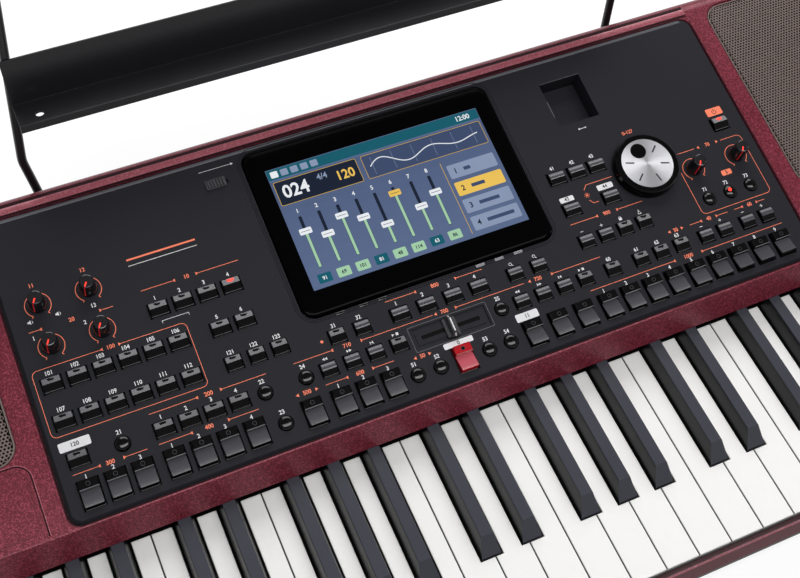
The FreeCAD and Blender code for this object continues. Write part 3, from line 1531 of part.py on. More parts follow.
def black_key(name, number):
    middle = black_middle(number)
    notch = KEY_FRONT + s.white_head + s.notch_gap
    low = s.key_top - s.white_thick
    high = s.key_top + s.black_rise
    body = new_body(name)
    drawing = new_sketch(body, "XY_Plane", low)
    half = BLACK_WIDE / 2
    tail_half = TAIL_WIDE / 2
    tail_y = LIP + s.tail_start
    end = PIVOT_Y + s.tail_end
    draw_outline(drawing, [(middle - half, notch), (middle + half, notch),
                           (middle + half, tail_y), (middle + tail_half, tail_y),
                           (middle + tail_half, end), (middle - tail_half, end),
                           (middle - tail_half, tail_y), (middle - half, tail_y)])
    pad(body, drawing, s.white_thick)
    cap = new_sketch(body, "XZ_Plane", -(LIP + s.black_under_lip))
    top_half = BLACK_TOP_WIDE / 2
    draw_outline(cap, [(middle - half, s.key_top), (middle + half, s.key_top),
                       (middle + top_half, high), (middle - top_half, high)])
    pad(body, cap, LIP + s.black_under_lip - notch)
    slope = new_sketch(body, "YZ_Plane", middle)
    draw_outline(slope, [(notch - s.overrun, s.key_top), (notch, s.key_top),
                         (notch + s.black_slope, high + s.overrun),
                         (notch - s.overrun, high + s.overrun)])
    pocket(body, slope, BLACK_WIDE * 2, both_ways=True)
    top = high.value
    round_edges(body, s.black_round, lambda edge: near(edge.BoundBox.ZMin, top))
    bore_pivot_at(body, middle)
    return body


def make_keys():
    for note, number in WHITE_NOTES.items():
        body = repeat(white_key(note + "_key", number), OCTAVE, OCTAVES)
        move(body, KEY_LEFT, ZERO, ZERO)
        if note == "c":
            top_key = move(white_key("top_c_key", 0, last=True),
                           KEY_LEFT + OCTAVE * OCTAVES, ZERO, ZERO)
            node("c_keys", group("c_key_group", [body, top_key]))
        else:
            node(note + "_keys", body)
    for note, number in BLACK_NOTES.items():
        body = repeat(black_key(note + "_key", number), OCTAVE, OCTAVES)
        node(note + "_keys", move(body, KEY_LEFT, ZERO, ZERO))


def tail_spots():
    """Every key's tail along the rod, from the keybed's left end."""
    return [tail_middle(note) for note in list(WHITE_NOTES) + list(BLACK_NOTES)]


def make_keybed():
    low = FLOOR + s.frame_rise
    top = low + s.frame_thick
    front = KEY_FRONT + s.frame_front_set
    rear = PIVOT_Y + s.leg_wide
    plate = box("frame_plate", (KEY_LEFT, KEY_RIGHT), (front, rear), (low, top))
    rail = box("stop_rail", (KEY_LEFT, KEY_RIGHT), (front, front + s.stop_rail_wide),
               (top, top + s.stop_rail_high))
    parts = [plate, rail]
    comb = new_body("comb")
    drawing = new_sketch(comb, "YZ_Plane")
    y_range = about(PIVOT_Y, s.comb_deep)
    draw_outline(drawing, [(y_range[0], low), (y_range[1], low),
                           (y_range[1], PIVOT_Z + s.pivot_radius * 2),
                           (y_range[0], PIVOT_Z + s.pivot_radius * 2)])
    pad(comb, drawing, s.comb_thick, both_ways=True)
    repeat(comb, OCTAVE, OCTAVES + 1)
    parts.append(move(comb, KEY_LEFT, ZERO, ZERO))
    tools = []
    for x, y in screw_spots():
        parts.append(box("frame_leg", about(x, s.leg_wide), about(y, s.leg_wide), (FLOOR, low)))
        tools.append(round_bar("leg_bore", s.screw_radius + s.run_gap, x, y,
                               (FLOOR - s.overrun, s.foot_high + s.screw_long + s.overrun)))
    tools.append(bar_along_x("rod_bore", s.pivot_radius, widened((KEY_LEFT, KEY_RIGHT), s.overrun),
                             PIVOT_Y, PIVOT_Z))
    node("key_frame", cut("frame_cut", fused("frame_whole", parts), tools))
    node("key_pivot_rod", bar_along_x("pivot_rod", s.pivot_radius,
                                      widened((KEY_LEFT, KEY_RIGHT), s.comb_thick / 2),
                                      PIVOT_Y, PIVOT_Z))
    strip_y = (LIP - s.strip_set, LIP - s.strip_set + s.strip_wide)
    board = box("contact_circuit", (KEY_LEFT, KEY_RIGHT), strip_y, (top, top + s.strip_thick))
    domes = new_body("domes")
    drawing = new_sketch(domes, "XY_Plane", top + s.strip_thick)
    for spot in tail_spots():
        draw_circle(drawing, spot, strip_y[0] + s.strip_wide / 2, s.dome_radius)
    pad(domes, drawing, s.dome_high)
    repeat(domes, OCTAVE, OCTAVES)
    move(domes, KEY_LEFT, ZERO, ZERO)
    last = round_bar("top_dome", s.dome_radius, KEY_LEFT + OCTAVE * OCTAVES + tail_middle("c"),
                     strip_y[0] + s.strip_wide / 2,
                     (top + s.strip_thick, top + s.strip_thick + s.dome_high))
    node("contact_strip", group("contact_group", [board, domes, last]))
    springs = new_body("springs")
    drawing = new_sketch(springs, "XY_Plane", top)
    high = s.key_top - s.white_thick - s.spring_gap
    for spot in tail_spots():
        draw_circle(drawing, spot, LIP + s.spring_set, s.spring_radius)
    pad(springs, drawing, high - top)
    repeat(springs, OCTAVE, OCTAVES)
    move(springs, KEY_LEFT, ZERO, ZERO)
    last = round_bar("top_spring", s.spring_radius,
                     KEY_LEFT + OCTAVE * OCTAVES + tail_middle("c"), LIP + s.spring_set,
                     (top, high))
    node("key_springs", group("spring_group", [springs, last]))


# Sockets, boards and screws inside


def make_sockets():
    parts = []
    z = jack_height()
    inner = REAR - s.rear_panel_thick
    for number in range(JACKS):
        x = s.jack_start + s.jack_pitch * number
        block = box("jack_block", about(x, s.jack_wide), (inner - s.jack_long, inner),
                    about(z, s.jack_wide))
        sleeve = bar_along_y("jack_sleeve", s.jack_nut_radius - s.jack_nut_thick - s.fit_gap, x,
                             (inner - s.jack_nut_thick, REAR + s.jack_nut_thick), z)
        nut = bar_along_y("jack_nut", s.jack_nut_radius, x, (REAR, REAR + s.jack_nut_thick), z)
        bore = bar_along_y("jack_bore", s.jack_radius, x,
                           (REAR + s.jack_nut_thick - s.jack_bore,
                            REAR + s.jack_nut_thick + s.overrun), z)
        parts.append(cut("jack", fused("jack_whole", [block, sleeve, nut]), [bore]))
    for number in range(DINS):
        x = s.din_start + s.din_pitch * number
        shell = bar_along_y("din_shell", s.din_radius, x, (inner - s.din_long, REAR), z)
        hollow = bar_along_y("din_hollow", s.din_radius - s.din_wall, x,
                             (REAR - s.din_long / 2, REAR + s.overrun), z)
        parts.append(cut("din", shell, [hollow]))
    shell = box("usb_shell", about(s.usb_across, s.usb_wide), (inner - s.usb_long, REAR),
                about(z, s.usb_high))
    hollow = box("usb_hollow", about(s.usb_across, s.usb_wide - s.usb_wall * 2),
                 (REAR - s.usb_long / 2, REAR + s.overrun), about(z, s.usb_high - s.usb_wall * 2))
    parts.append(cut("usb", shell, [hollow]))
    port_x, port_y, port_z = port_ranges()
    block = box("port_block", port_x, port_y, port_z)
    inside = box("port_inside", (port_x[0] + s.stick_port_wall * 2, port_x[1] + s.overrun),
                 widened(port_y, -s.stick_port_wall), widened(port_z, -s.stick_port_wall))
    parts.append(on_slope(cut("port", block, [inside])))
    node("signal_sockets", group("socket_group", parts))
    x = s.inlet_across
    body = box("inlet_body", about(x, s.inlet_wide), (inner - s.inlet_long, REAR),
               about(z, s.inlet_high))
    flange = box("inlet_flange_plate", about(x, s.inlet_wide + s.inlet_flange * 2),
                 (REAR, REAR + s.inlet_flange_thick),
                 about(z, s.inlet_high + s.inlet_flange * 2))
    cavity = box("inlet_hollow", about(x, s.inlet_wide - s.inlet_wall * 2),
                 (REAR - s.inlet_cavity, REAR + s.inlet_flange_thick + s.overrun),
                 about(z, s.inlet_high - s.inlet_wall * 2))
    shell = cut("inlet_shell", fused("inlet_whole", [body, flange]), [cavity])
    blades = []
    for step in (-1, 0, 1):
        blades.append(box("inlet_blade", about(x + s.inlet_blade_pitch * step, s.inlet_blade_thick),
                          (REAR - s.inlet_cavity - s.inlet_wall,
                           REAR - s.inlet_cavity + s.inlet_blade_long),
                          about(z, s.inlet_blade_wide)))
    node("mains_inlet", fused("inlet_all", [shell] + blades))


def make_boards():
    rear = REAR - s.inner_rear_set
    y_range = (rear - s.main_board_deep, rear)
    x_range = (s.main_board_left, s.main_board_left + s.main_board_wide)
    low = FLOOR + s.main_board_lift
    board = box("main_circuit", x_range, y_range, (low, low + s.board_thick))
    parts = [board]
    for x in widened(x_range, -s.leg_wide):
        for y in widened(y_range, -s.leg_wide):
            parts.append(round_bar("main_post", s.post_radius, x, y, (FLOOR, low)))
    for share in CHIP_SHARES:
        middle = x_range[0] + s.main_board_wide * share
        parts.append(box("main_chip", about(middle, s.chip_wide),
                         about((y_range[0] + y_range[1]) / 2, s.chip_wide),
                         (low + s.board_thick, low + s.board_thick + s.chip_high)))
    node("main_board", group("main_board_group", parts))
    y_range = (rear - s.supply_deep, rear)
    node("power_supply", box("supply", about(s.supply_across, s.supply_wide), y_range,
                             (FLOOR, FLOOR + s.supply_high)))


def make_screws():
    screws = []
    for x, y in screw_spots():
        head = round_bar("screw_head", s.screw_head_radius, x, y,
                         (s.foot_high - s.screw_head_thick, s.foot_high))
        shank = round_bar("screw_shank", s.screw_radius, x, y,
                          (s.foot_high - s.screw_head_thick, s.foot_high + s.screw_long))
        screws.append(fused("screw", [head, shank]))
    node("case_screws", group("screw_group", screws))


# Music stand


def stand_rise():
    """Length of the stand up its lean, so that it ends stand_back behind the case."""
    return (s.stand_back - s.rod_air - s.rod_radius * 2) / sine(s.stand_lean)


def bent_wire(points, bend):
    """A wire through points with round bends of one radius."""
    pieces = []
    last = points[0]
    for index in range(1, len(points) - 1):
        here = points[index]
        back = (points[index - 1] - here).normalize()
        ahead = (points[index + 1] - here).normalize()
        half_turn = back.getAngle(ahead) / 2
        reach = bend / math.tan(half_turn)
        start = here + back * reach
        finish = here + ahead * reach
        middle_way = (back + ahead).normalize()
        middle = here + middle_way * (bend / math.sin(half_turn) - bend)
        pieces.append(Part.makeLine(last, start))
        pieces.append(Part.Arc(start, middle, finish).toShape())
        last = finish
    pieces.append(Part.makeLine(last, points[-1]))
    return Part.Wire(pieces)


def make_stand():
    high = stand_rise().value
    foot = s.socket_floor.value
    lean = math.radians(s.stand_lean.value)
    y, z = (item.value for item in socket_frame())

    def at(x, rise):
        return FreeCAD.Vector(x, y + rise * math.sin(lean), z + rise * math.cos(lean))

    clear = (s.socket_high + s.rod_radius * 2).value
    half_line = [at(ROD_FOOT_HALF.value, foot), at(ROD_FOOT_HALF.value, clear),
                 at(ROD_BOW_HALF.value, s.rod_bow_up.value),
                 at(ROD_TOP_HALF.value, high)]
    other = [FreeCAD.Vector(-point.x, point.y, point.z) for point in reversed(half_line)]
    path = bent_wire(half_line + other, s.rod_bend.value)
    aim = at(0, 1) - at(0, 0)
    ring = Part.Wire([Part.makeCircle(s.rod_radius.value, half_line[0], aim)])
    frame = doc.addObject("Part::Feature", "stand_rods")
    frame.Shape = path.makePipeShell([ring], True, True)
    node("stand_frame", frame)
    node("stand_tray", make_stand_tray())


def make_stand_tray():
    """A folded sheet in front of the rods, drawn upright and leaned back."""
    face = -s.rod_radius
    fold = s.tray_fold_up
    sheet_thick = s.tray_sheet
    front = face - s.tray_ledge_deep
    corners = [(face, fold), (face, fold + s.tray_back_high),
               (face - sheet_thick, fold + s.tray_back_high), (face - sheet_thick, fold + sheet_thick),
               (front + sheet_thick, fold + sheet_thick), (front + sheet_thick, fold + s.tray_hem),
               (front, fold + s.tray_hem), (front, fold)]
    body = new_body("tray_sheet_body")
    drawing = new_sketch(body, "YZ_Plane")
    draw_outline(drawing, corners)
    pad(body, drawing, TRAY_HALF_WIDE * 2, both_ways=True)
    holes = []
    for sign in (-1, 1):
        holes.append(round_bar("tray_hole_cut", s.tray_hole_radius,
                               (TRAY_HALF_WIDE - s.tray_hole_inset) * sign,
                               front + s.tray_hole_inset,
                               (fold - s.overrun, fold + sheet_thick + s.overrun)))
    return lean_about_socket(cut("tray_whole", body, holes))


# Everything in order

make_tray()
make_feet()
make_center_cover()
make_end_cover("left_end_cover", -1, CHEEK_LEFT)
make_end_cover("right_end_cover", 1, CHEEK_RIGHT)
make_key_slip()
make_rear_panel()
HOLES, SWITCHES = make_buttons()
make_control_panel(HOLES)
make_panel_board(SWITCHES)
make_knobs()
make_dial()
make_sliders()
make_display()
make_grilles()
make_speakers()
make_joystick()
make_assignable_switches()
make_keys()
make_keybed()
make_sockets()
make_boards()
make_screws()
make_stand()
doc.recompute()

for item in doc.Objects:
    if "Invalid" in item.State or "Error" in item.State:
        raise RuntimeError("cannot build " + item.Name)

os.makedirs("parts", exist_ok=True)
for name, thing in NODES.items():
    shape = thing.Shape
    if shape.isNull() or not shape.isValid() or not shape.Solids:
        raise RuntimeError("no good solid for " + name)
    shape.exportStep("parts/" + name + ".step")
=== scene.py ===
import math

import bmesh
import bpy
from mathutils import Matrix, Vector


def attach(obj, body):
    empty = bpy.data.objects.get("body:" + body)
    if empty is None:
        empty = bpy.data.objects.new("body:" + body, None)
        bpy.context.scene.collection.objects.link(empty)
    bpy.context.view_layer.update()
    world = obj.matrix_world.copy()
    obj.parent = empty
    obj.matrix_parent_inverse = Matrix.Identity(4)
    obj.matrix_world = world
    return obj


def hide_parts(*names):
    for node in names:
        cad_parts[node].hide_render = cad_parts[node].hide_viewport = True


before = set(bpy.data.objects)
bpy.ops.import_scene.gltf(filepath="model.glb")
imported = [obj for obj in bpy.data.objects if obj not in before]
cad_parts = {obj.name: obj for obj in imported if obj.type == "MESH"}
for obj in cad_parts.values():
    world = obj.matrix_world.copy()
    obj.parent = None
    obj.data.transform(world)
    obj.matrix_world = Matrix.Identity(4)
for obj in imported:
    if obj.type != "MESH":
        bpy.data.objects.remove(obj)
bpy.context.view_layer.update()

# Lengths on the object are in millimetres and become metres where a mesh is made.
# The panel's place, the camera, the lamps and the floor are given in metres.
# On the sloping panel a place is (across, up the slope, out of the face).
MM = 0.001
PANEL_TILT = math.radians(10.8)
PANEL_FRONT = -0.076
PANEL_HIGH = 0.0873
PANEL_PLACE = (Matrix.Translation((0.0, PANEL_FRONT, PANEL_HIGH))
               @ Matrix.Rotation(PANEL_TILT, 4, "X"))
CASE_PLACE = Matrix.Identity(4)


def paint(red, green, blue):
    """A colour given as it looks on a screen, 0 to 255, made linear."""
    def linear(level):
        level /= 255.0
        return level / 12.92 if level <= 0.04045 else ((level + 0.055) / 1.055) ** 2.4
    return (linear(red), linear(green), linear(blue), 1.0)


# Finishes

SOCKETS = {
    "metal": "Metallic",
    "rough": "Roughness",
    "shine": "Specular IOR Level",
    "coat": "Coat Weight",
    "coat_rough": "Coat Roughness",
    "glow": "Emission Strength",
    "brush": "Anisotropic",
}


class Wiring:
    """Nodes of one tree, set and joined by plain names."""

    def __init__(self, tree):
        self.tree = tree

    def node(self, kind, **settings):
        made = self.tree.nodes.new(kind)
        for name, value in settings.items():
            setattr(made, name, value)
        return made

    def feed(self, socket, value):
        if isinstance(value, bpy.types.NodeSocket):
            self.tree.links.new(value, socket)
        else:
            socket.default_value = value

    def sum(self, operation, *values):
        made = self.node("ShaderNodeMath", operation=operation)
        for place, value in enumerate(values):
            self.feed(made.inputs[place], value)
        return made.outputs[0]

    def scaled(self, vector, factor):
        made = self.node("ShaderNodeVectorMath", operation="SCALE")
        self.feed(made.inputs[0], vector)
        self.feed(made.inputs["Scale"], factor)
        return made.outputs[0]

    def noise(self, place, scale, detail=2.0):
        made = self.node("ShaderNodeTexNoise")
        self.feed(made.inputs["Vector"], place)
        self.feed(made.inputs["Scale"], scale)
        made.inputs["Detail"].default_value = detail
        return made.outputs["Fac"]

    def here(self):
        return self.node("ShaderNodeTexCoord").outputs["Object"]

    def group(self, tree, **values):
        made = self.node("ShaderNodeGroup", node_tree=tree)
        for name, value in values.items():
            self.feed(made.inputs[name.replace("_", " ").capitalize()], value)
        return made.outputs


def effect(name, inputs, outputs):
    """An empty node group with its sockets, and its input and output nodes."""
    tree = bpy.data.node_groups.new(name, "ShaderNodeTree")
    for label, kind in inputs:
        tree.interface.new_socket(label, in_out="INPUT", socket_type="NodeSocket" + kind)
    for label, kind in outputs:
        tree.interface.new_socket(label, in_out="OUTPUT", socket_type="NodeSocket" + kind)
    wiring = Wiring(tree)
    return wiring, wiring.node("NodeGroupInput").outputs, wiring.node("NodeGroupOutput").inputs


PATCH_SCALE = 21.0


def make_moulded_grain():
    """Fine grain of a moulded or sprayed face, with slow patches in tone and shine."""
    w, given, out = effect(
        "moulded_grain",
        [("Colour", "Color"), ("Scale", "Float"), ("Contrast", "Float"),
         ("Roughness", "Float"), ("Spread", "Float")],
        [("Colour", "Color"), ("Roughness", "Float"), ("Height", "Float")])
    here = w.here()
    fine = w.noise(here, given["Scale"], 3.0)
    patch = w.noise(here, PATCH_SCALE, 2.0)
    fine_swing = w.sum("SUBTRACT", fine, 0.5)
    patch_swing = w.sum("SUBTRACT", patch, 0.5)
    swing = w.sum("MULTIPLY_ADD", fine_swing, 2.0, patch_swing)
    tone = w.sum("MULTIPLY_ADD", swing, given["Contrast"], 1.0)
    w.feed(out["Colour"], w.scaled(given["Colour"], tone))
    shine = w.sum("MULTIPLY_ADD", w.sum("ADD", fine_swing, patch_swing), given["Spread"],
                  given["Roughness"])
    w.feed(out["Roughness"], shine)
    w.feed(out["Height"], fine)
    return w.tree


def make_paint_flakes():
    """Metal flakes in a lacquer: small cells, some of them lighter."""
    w, given, out = effect(
        "paint_flakes",
        [("Colour", "Color"), ("Flake colour", "Color"), ("Scale", "Float"), ("Share", "Float")],
        [("Colour", "Color"), ("Height", "Float")])
    cells = w.node("ShaderNodeTexVoronoi")
    w.feed(cells.inputs["Vector"], w.here())
    w.feed(cells.inputs["Scale"], given["Scale"])
    parts = w.node("ShaderNodeSeparateColor")
    w.feed(parts.inputs[0], cells.outputs["Color"])
    lit = w.sum("POWER", parts.outputs[0], 3.0)
    mix = w.node("ShaderNodeMix", data_type="RGBA")
    w.feed(mix.inputs[0], w.sum("MULTIPLY", lit, given["Share"]))
    w.feed(mix.inputs[6], given["Colour"])
    w.feed(mix.inputs[7], given["Flake colour"])
    w.feed(out["Colour"], mix.outputs[2])
    w.feed(out["Height"], parts.outputs[1])
    return w.tree


def make_brushed_lines():
    """Fine scratches along one direction, given by the place that is fed in."""
    w, given, out = effect(
        "brushed_lines",
        [("Place", "Vector"), ("Colour", "Color"), ("Scale", "Float"), ("Contrast", "Float"),
         ("Roughness", "Float")],
        [("Colour", "Color"), ("Roughness", "Float"), ("Height", "Float")])
    lines = w.noise(given["Place"], given["Scale"], 4.0)
    swing = w.sum("SUBTRACT", lines, 0.5)
    w.feed(out["Colour"], w.scaled(given["Colour"],
                                   w.sum("MULTIPLY_ADD", swing, given["Contrast"], 1.0)))
    w.feed(out["Roughness"], w.sum("MULTIPLY_ADD", swing, 0.2, given["Roughness"]))
    w.feed(out["Height"], lines)
    return w.tree


MOULDED_GRAIN = make_moulded_grain()
PAINT_FLAKES = make_paint_flakes()
BRUSHED_LINES = make_brushed_lines()
FLAKE_SCALE, FLAKE_SHARE = 1500.0, 0.7
FINISH = {}


def bare_finish(name, constants):
    """A new finish, kept under its name, with its plain values set."""
    material = bpy.data.materials.new(name)
    material.use_nodes = True
    FINISH[name] = material
    shader = material.node_tree.nodes["Principled BSDF"]
    for key, value in constants.items():
        shader.inputs[SOCKETS[key]].default_value = value
    return Wiring(material.node_tree), shader


def bump(wiring, shader, height, strength, depth):
    """Relief from a height that changes over the surface."""
    made = wiring.node("ShaderNodeBump")
    made.inputs["Strength"].default_value = strength
    made.inputs["Distance"].default_value = depth
    wiring.feed(made.inputs["Height"], height)
    wiring.feed(shader.inputs["Normal"], made.outputs[0])


def grained(name, colour, rough, scale=2600.0, contrast=0.08, spread=0.08,
            relief=0.12, depth=0.00006, side_shade=0.0, **constants):
    """A finish with moulded grain in its colour, shine and relief.

    Faces that point left or right may be darkened: painted shade, standing in for the shade
    between neighbouring keys and on their sides.
    """
    wiring, shader = bare_finish(name, constants)
    out = wiring.group(MOULDED_GRAIN, colour=colour, scale=scale, contrast=contrast,
                       roughness=rough, spread=spread)
    tone = out["Colour"]
    # Painted shade: the more a face points left or right, the darker its colour.
    if side_shade:
        parts = wiring.node("ShaderNodeSeparateXYZ")
        wiring.feed(parts.inputs[0], wiring.node("ShaderNodeTexCoord").outputs["Normal"])
        steep = wiring.sum("POWER", wiring.sum("ABSOLUTE", parts.outputs[0]), 4.0)
        tone = wiring.scaled(tone, wiring.sum("MULTIPLY_ADD", steep, -side_shade, 1.0))
    wiring.feed(shader.inputs["Base Color"], tone)
    wiring.feed(shader.inputs["Roughness"], out["Roughness"])
    if "glow" in constants:
        wiring.feed(shader.inputs["Emission Color"], out["Colour"])
    bump(wiring, shader, out["Height"], relief, depth)


def flaked(name, colour, flake_colour, rough, **constants):
    """Lacquer with metal flakes in it, with or without a clear coat."""
    wiring, shader = bare_finish(name, constants)
    flakes = wiring.group(PAINT_FLAKES, colour=colour, flake_colour=flake_colour,
                          scale=FLAKE_SCALE, share=FLAKE_SHARE)
    out = wiring.group(MOULDED_GRAIN, colour=flakes["Colour"], scale=FLAKE_SCALE,
                       contrast=0.10, roughness=rough, spread=0.08)
    wiring.feed(shader.inputs["Base Color"], out["Colour"])
    wiring.feed(shader.inputs["Roughness"], out["Roughness"])
    bump(wiring, shader, flakes["Height"], 0.10, 0.00003)


def brushed(name, colour, rough, rings=False, stretch=(1.0, 1.0, 0.03), scale=2400.0,
            contrast=0.25, relief=0.12, **constants):
    """Brushed metal, with straight lines or with rings about the piece's own axis."""
    wiring, shader = bare_finish(name, constants)
    here = wiring.here()
    if rings:
        parts = wiring.node("ShaderNodeSeparateXYZ")
        wiring.feed(parts.inputs[0], here)
        flat = wiring.node("ShaderNodeCombineXYZ")
        wiring.feed(flat.inputs[0], parts.outputs[0])
        wiring.feed(flat.inputs[1], parts.outputs[1])
        reach = wiring.node("ShaderNodeVectorMath", operation="LENGTH")
        wiring.feed(reach.inputs[0], flat.outputs[0])
        along = wiring.node("ShaderNodeCombineXYZ")
        wiring.feed(along.inputs[0], reach.outputs["Value"])
        place = along.outputs[0]
        turn = wiring.node("ShaderNodeTangent", direction_type="RADIAL", axis="Z")
        wiring.feed(shader.inputs["Tangent"], turn.outputs[0])
    else:
        drawn = wiring.node("ShaderNodeVectorMath", operation="MULTIPLY")
        wiring.feed(drawn.inputs[0], here)
        drawn.inputs[1].default_value = stretch
        place = drawn.outputs[0]
    out = wiring.group(BRUSHED_LINES, place=place, colour=colour, scale=scale,
                       contrast=contrast, roughness=rough)
    wiring.feed(shader.inputs["Base Color"], out["Colour"])
    wiring.feed(shader.inputs["Roughness"], out["Roughness"])
    bump(wiring, shader, out["Height"], relief, 0.00002)


def lit_screen(name):
    """A lit screen under glass: the colours of the picture with its fine pixel grid."""
    wiring, shader = bare_finish(name, {"glow": 0.92, "shine": 0.35})
    tint = wiring.node("ShaderNodeAttribute", attribute_name="Tint")
    wave = wiring.node("ShaderNodeTexWave", bands_direction="X")
    wiring.feed(wave.inputs["Vector"], wiring.here())
    wave.inputs["Scale"].default_value = 1100.0
    out = wiring.group(MOULDED_GRAIN, colour=tint.outputs["Color"], scale=60.0, contrast=0.05,
                       roughness=0.08, spread=0.03)
    pixel = wiring.sum("MULTIPLY_ADD", wave.outputs["Fac"], 0.06, 0.95)
    wiring.feed(shader.inputs["Emission Color"], wiring.scaled(out["Colour"], pixel))
    wiring.feed(shader.inputs["Base Color"], wiring.scaled(out["Colour"], 0.05))
    wiring.feed(shader.inputs["Roughness"], out["Roughness"])


def make_finishes():
    """Every finish of the object, by name."""
    flaked("burgundy_paint", paint(92, 16, 33), paint(170, 72, 92), 0.38, metal=0.25, coat=0.2,
           coat_rough=0.2, shine=0.35)
    # The slip's top: a darker copy of the burgundy, painted shade.
    flaked("slip_lacquer_painted_shade", paint(44, 6, 14), paint(76, 26, 36), 0.38, metal=0.25, coat=0.5,
           coat_rough=0.12)
    # A lighter copy of the burgundy: painted highlight on the slip's rounded edge, the rear bead
    # and the edge of the bass cover's groove.
    flaked("burgundy_painted_highlight", paint(150, 74, 86), paint(196, 124, 134), 0.3, metal=0.25, coat=0.5,
           coat_rough=0.12)
    flaked("slip_front", paint(92, 34, 44), paint(130, 62, 72), 0.5, shine=0.03)
    # A darker copy of the burgundy: painted shade in the seams and grooves.
    flaked("burgundy_painted_shade", paint(34, 8, 14), paint(52, 16, 24), 0.5, shine=0.1)
    grained("panel_black", paint(35, 35, 40), 0.5, scale=5200.0, contrast=0.10, relief=0.16,
            shine=0.10)
    grained("case_black", paint(30, 30, 32), 0.55, scale=1500.0, contrast=0.12, relief=0.35,
            depth=0.0001, shine=0.3)
    grained("grille_metal", paint(110, 96, 92), 0.45, scale=900.0, contrast=0.08, metal=0.25)
    grained("grille_cloth", paint(24, 20, 20), 0.9, scale=1800.0, contrast=0.4, relief=0.5,
            depth=0.0003, shine=0.1)
    grained("speaker_black", paint(40, 22, 22), 0.7, scale=700.0, contrast=0.2)
    brushed("frame_steel", paint(150, 152, 156), 0.4, metal=0.9)
    brushed("rod_steel", paint(176, 178, 182), 0.28, stretch=(0.03, 1.0, 1.0), metal=0.95)
    brushed("spring_steel", paint(166, 166, 170), 0.3, metal=0.95)
    brushed("screw_steel", paint(60, 60, 64), 0.35, metal=0.9)
    brushed("supply_metal", paint(170, 172, 174), 0.42, stretch=(0.05, 1.0, 1.0), metal=0.85)
    grained("circuit_green", paint(30, 84, 52), 0.4, scale=420.0, contrast=0.25, coat=0.3)
    grained("socket_black", paint(26, 26, 28), 0.4, scale=1800.0)
    grained("rubber", paint(24, 24, 25), 0.85, scale=1100.0, contrast=0.16, relief=0.4,
            depth=0.0002, shine=0.2)
    # Both key finishes darken their side faces as painted shade; the black keys' grey is also
    # raised to stand in partly for the sheen on their tops.
    grained("key_white", paint(241, 240, 238), 0.24, scale=240.0, contrast=0.015, spread=0.05,
            relief=0.04, side_shade=0.85, coat=0.25, coat_rough=0.08)
    grained("key_black", paint(60, 61, 69), 0.30, scale=3000.0, contrast=0.10, relief=0.10,
            side_shade=0.95, shine=0.3)
    grained("cap_gloss", paint(5, 5, 6), 0.11, scale=1500.0, contrast=0.12, spread=0.05,
            relief=0.03, shine=0.4)
    # A lighter grey for the caps' rear facets and pads: painted sheen.
    grained("cap_painted_sheen", paint(66, 65, 70), 0.2, scale=5000.0, contrast=0.16, spread=0.08,
            relief=0.05)
    # Light grey: on the caps' edge bevels it is a painted highlight; the pale blocks by the
    # display are this grey too.
    grained("cap_edge", paint(120, 120, 126), 0.3, scale=2500.0, contrast=0.15)
    grained("cap_grey", paint(52, 52, 56), 0.35, scale=2600.0, contrast=0.12)
    grained("cap_red", paint(166, 14, 26), 0.16, scale=1200.0, contrast=0.10, spread=0.05,
            relief=0.03, coat=0.3, coat_rough=0.08)
    # A lighter red for the red cap's pad and edge: painted sheen and painted highlight.
    grained("cap_red_painted_sheen", paint(182, 80, 92), 0.2, scale=1800.0, contrast=0.10, spread=0.05,
            relief=0.04)
    grained("lamp_dark", paint(12, 10, 12), 0.1, scale=1200.0, contrast=0.2, relief=0.02)
    grained("lamp_rim", paint(58, 56, 62), 0.3, scale=2500.0, contrast=0.15)
    grained("lamp_lit", paint(255, 52, 40), 0.3, scale=900.0, contrast=0.2, glow=1.5)
    grained("pointer_red", paint(176, 22, 26), 0.25, scale=900.0, contrast=0.15, glow=0.25)
    grained("knob_top", paint(28, 27, 30), 0.2, scale=1800.0, contrast=0.12)
    grained("knob_smoke", paint(20, 19, 22), 0.14, scale=1400.0, contrast=0.10, spread=0.05,
            relief=0.03, coat=0.4, coat_rough=0.05)
    grained("dial_rim", paint(5, 5, 6), 0.1, scale=1200.0, contrast=0.1, spread=0.04, relief=0.02,
            shine=0.25)
    brushed("dial_metal", paint(216, 216, 220), 0.32, rings=True, scale=5200.0, metal=0.75,
            brush=0.8)
    grained("dial_dash", paint(44, 44, 48), 0.4, scale=1600.0)
    grained("bezel_gloss", paint(4, 4, 5), 0.08, scale=700.0, contrast=0.12, spread=0.03,
            relief=0.01, shine=0.03)
    lit_screen("screen_glass")
    grained("stand_black", paint(20, 20, 24), 0.36, scale=1900.0, contrast=0.12, relief=0.15,
            metal=0.1)
    grained("print_white", paint(214, 214, 216), 0.5, scale=3200.0, contrast=0.06)
    grained("print_orange", paint(240, 122, 88), 0.5, scale=3200.0, contrast=0.06)
    # Light grey: painted highlight on the panel's rear bevel and on the edges of its wells.
    grained("panel_painted_light", paint(78, 78, 84), 0.4, scale=2600.0, contrast=0.10)
    # Near black: painted shade on the panel's left rim.
    grained("panel_rim_painted_shade", paint(20, 20, 23), 0.5, scale=5200.0, contrast=0.10, shine=0.05)
    grained("felt_black", paint(10, 10, 11), 0.95, scale=2200.0, contrast=0.4, relief=0.6,
            depth=0.0002, shine=0.05)
    grained("print_dark", paint(30, 30, 33), 0.5, scale=3200.0, contrast=0.08)


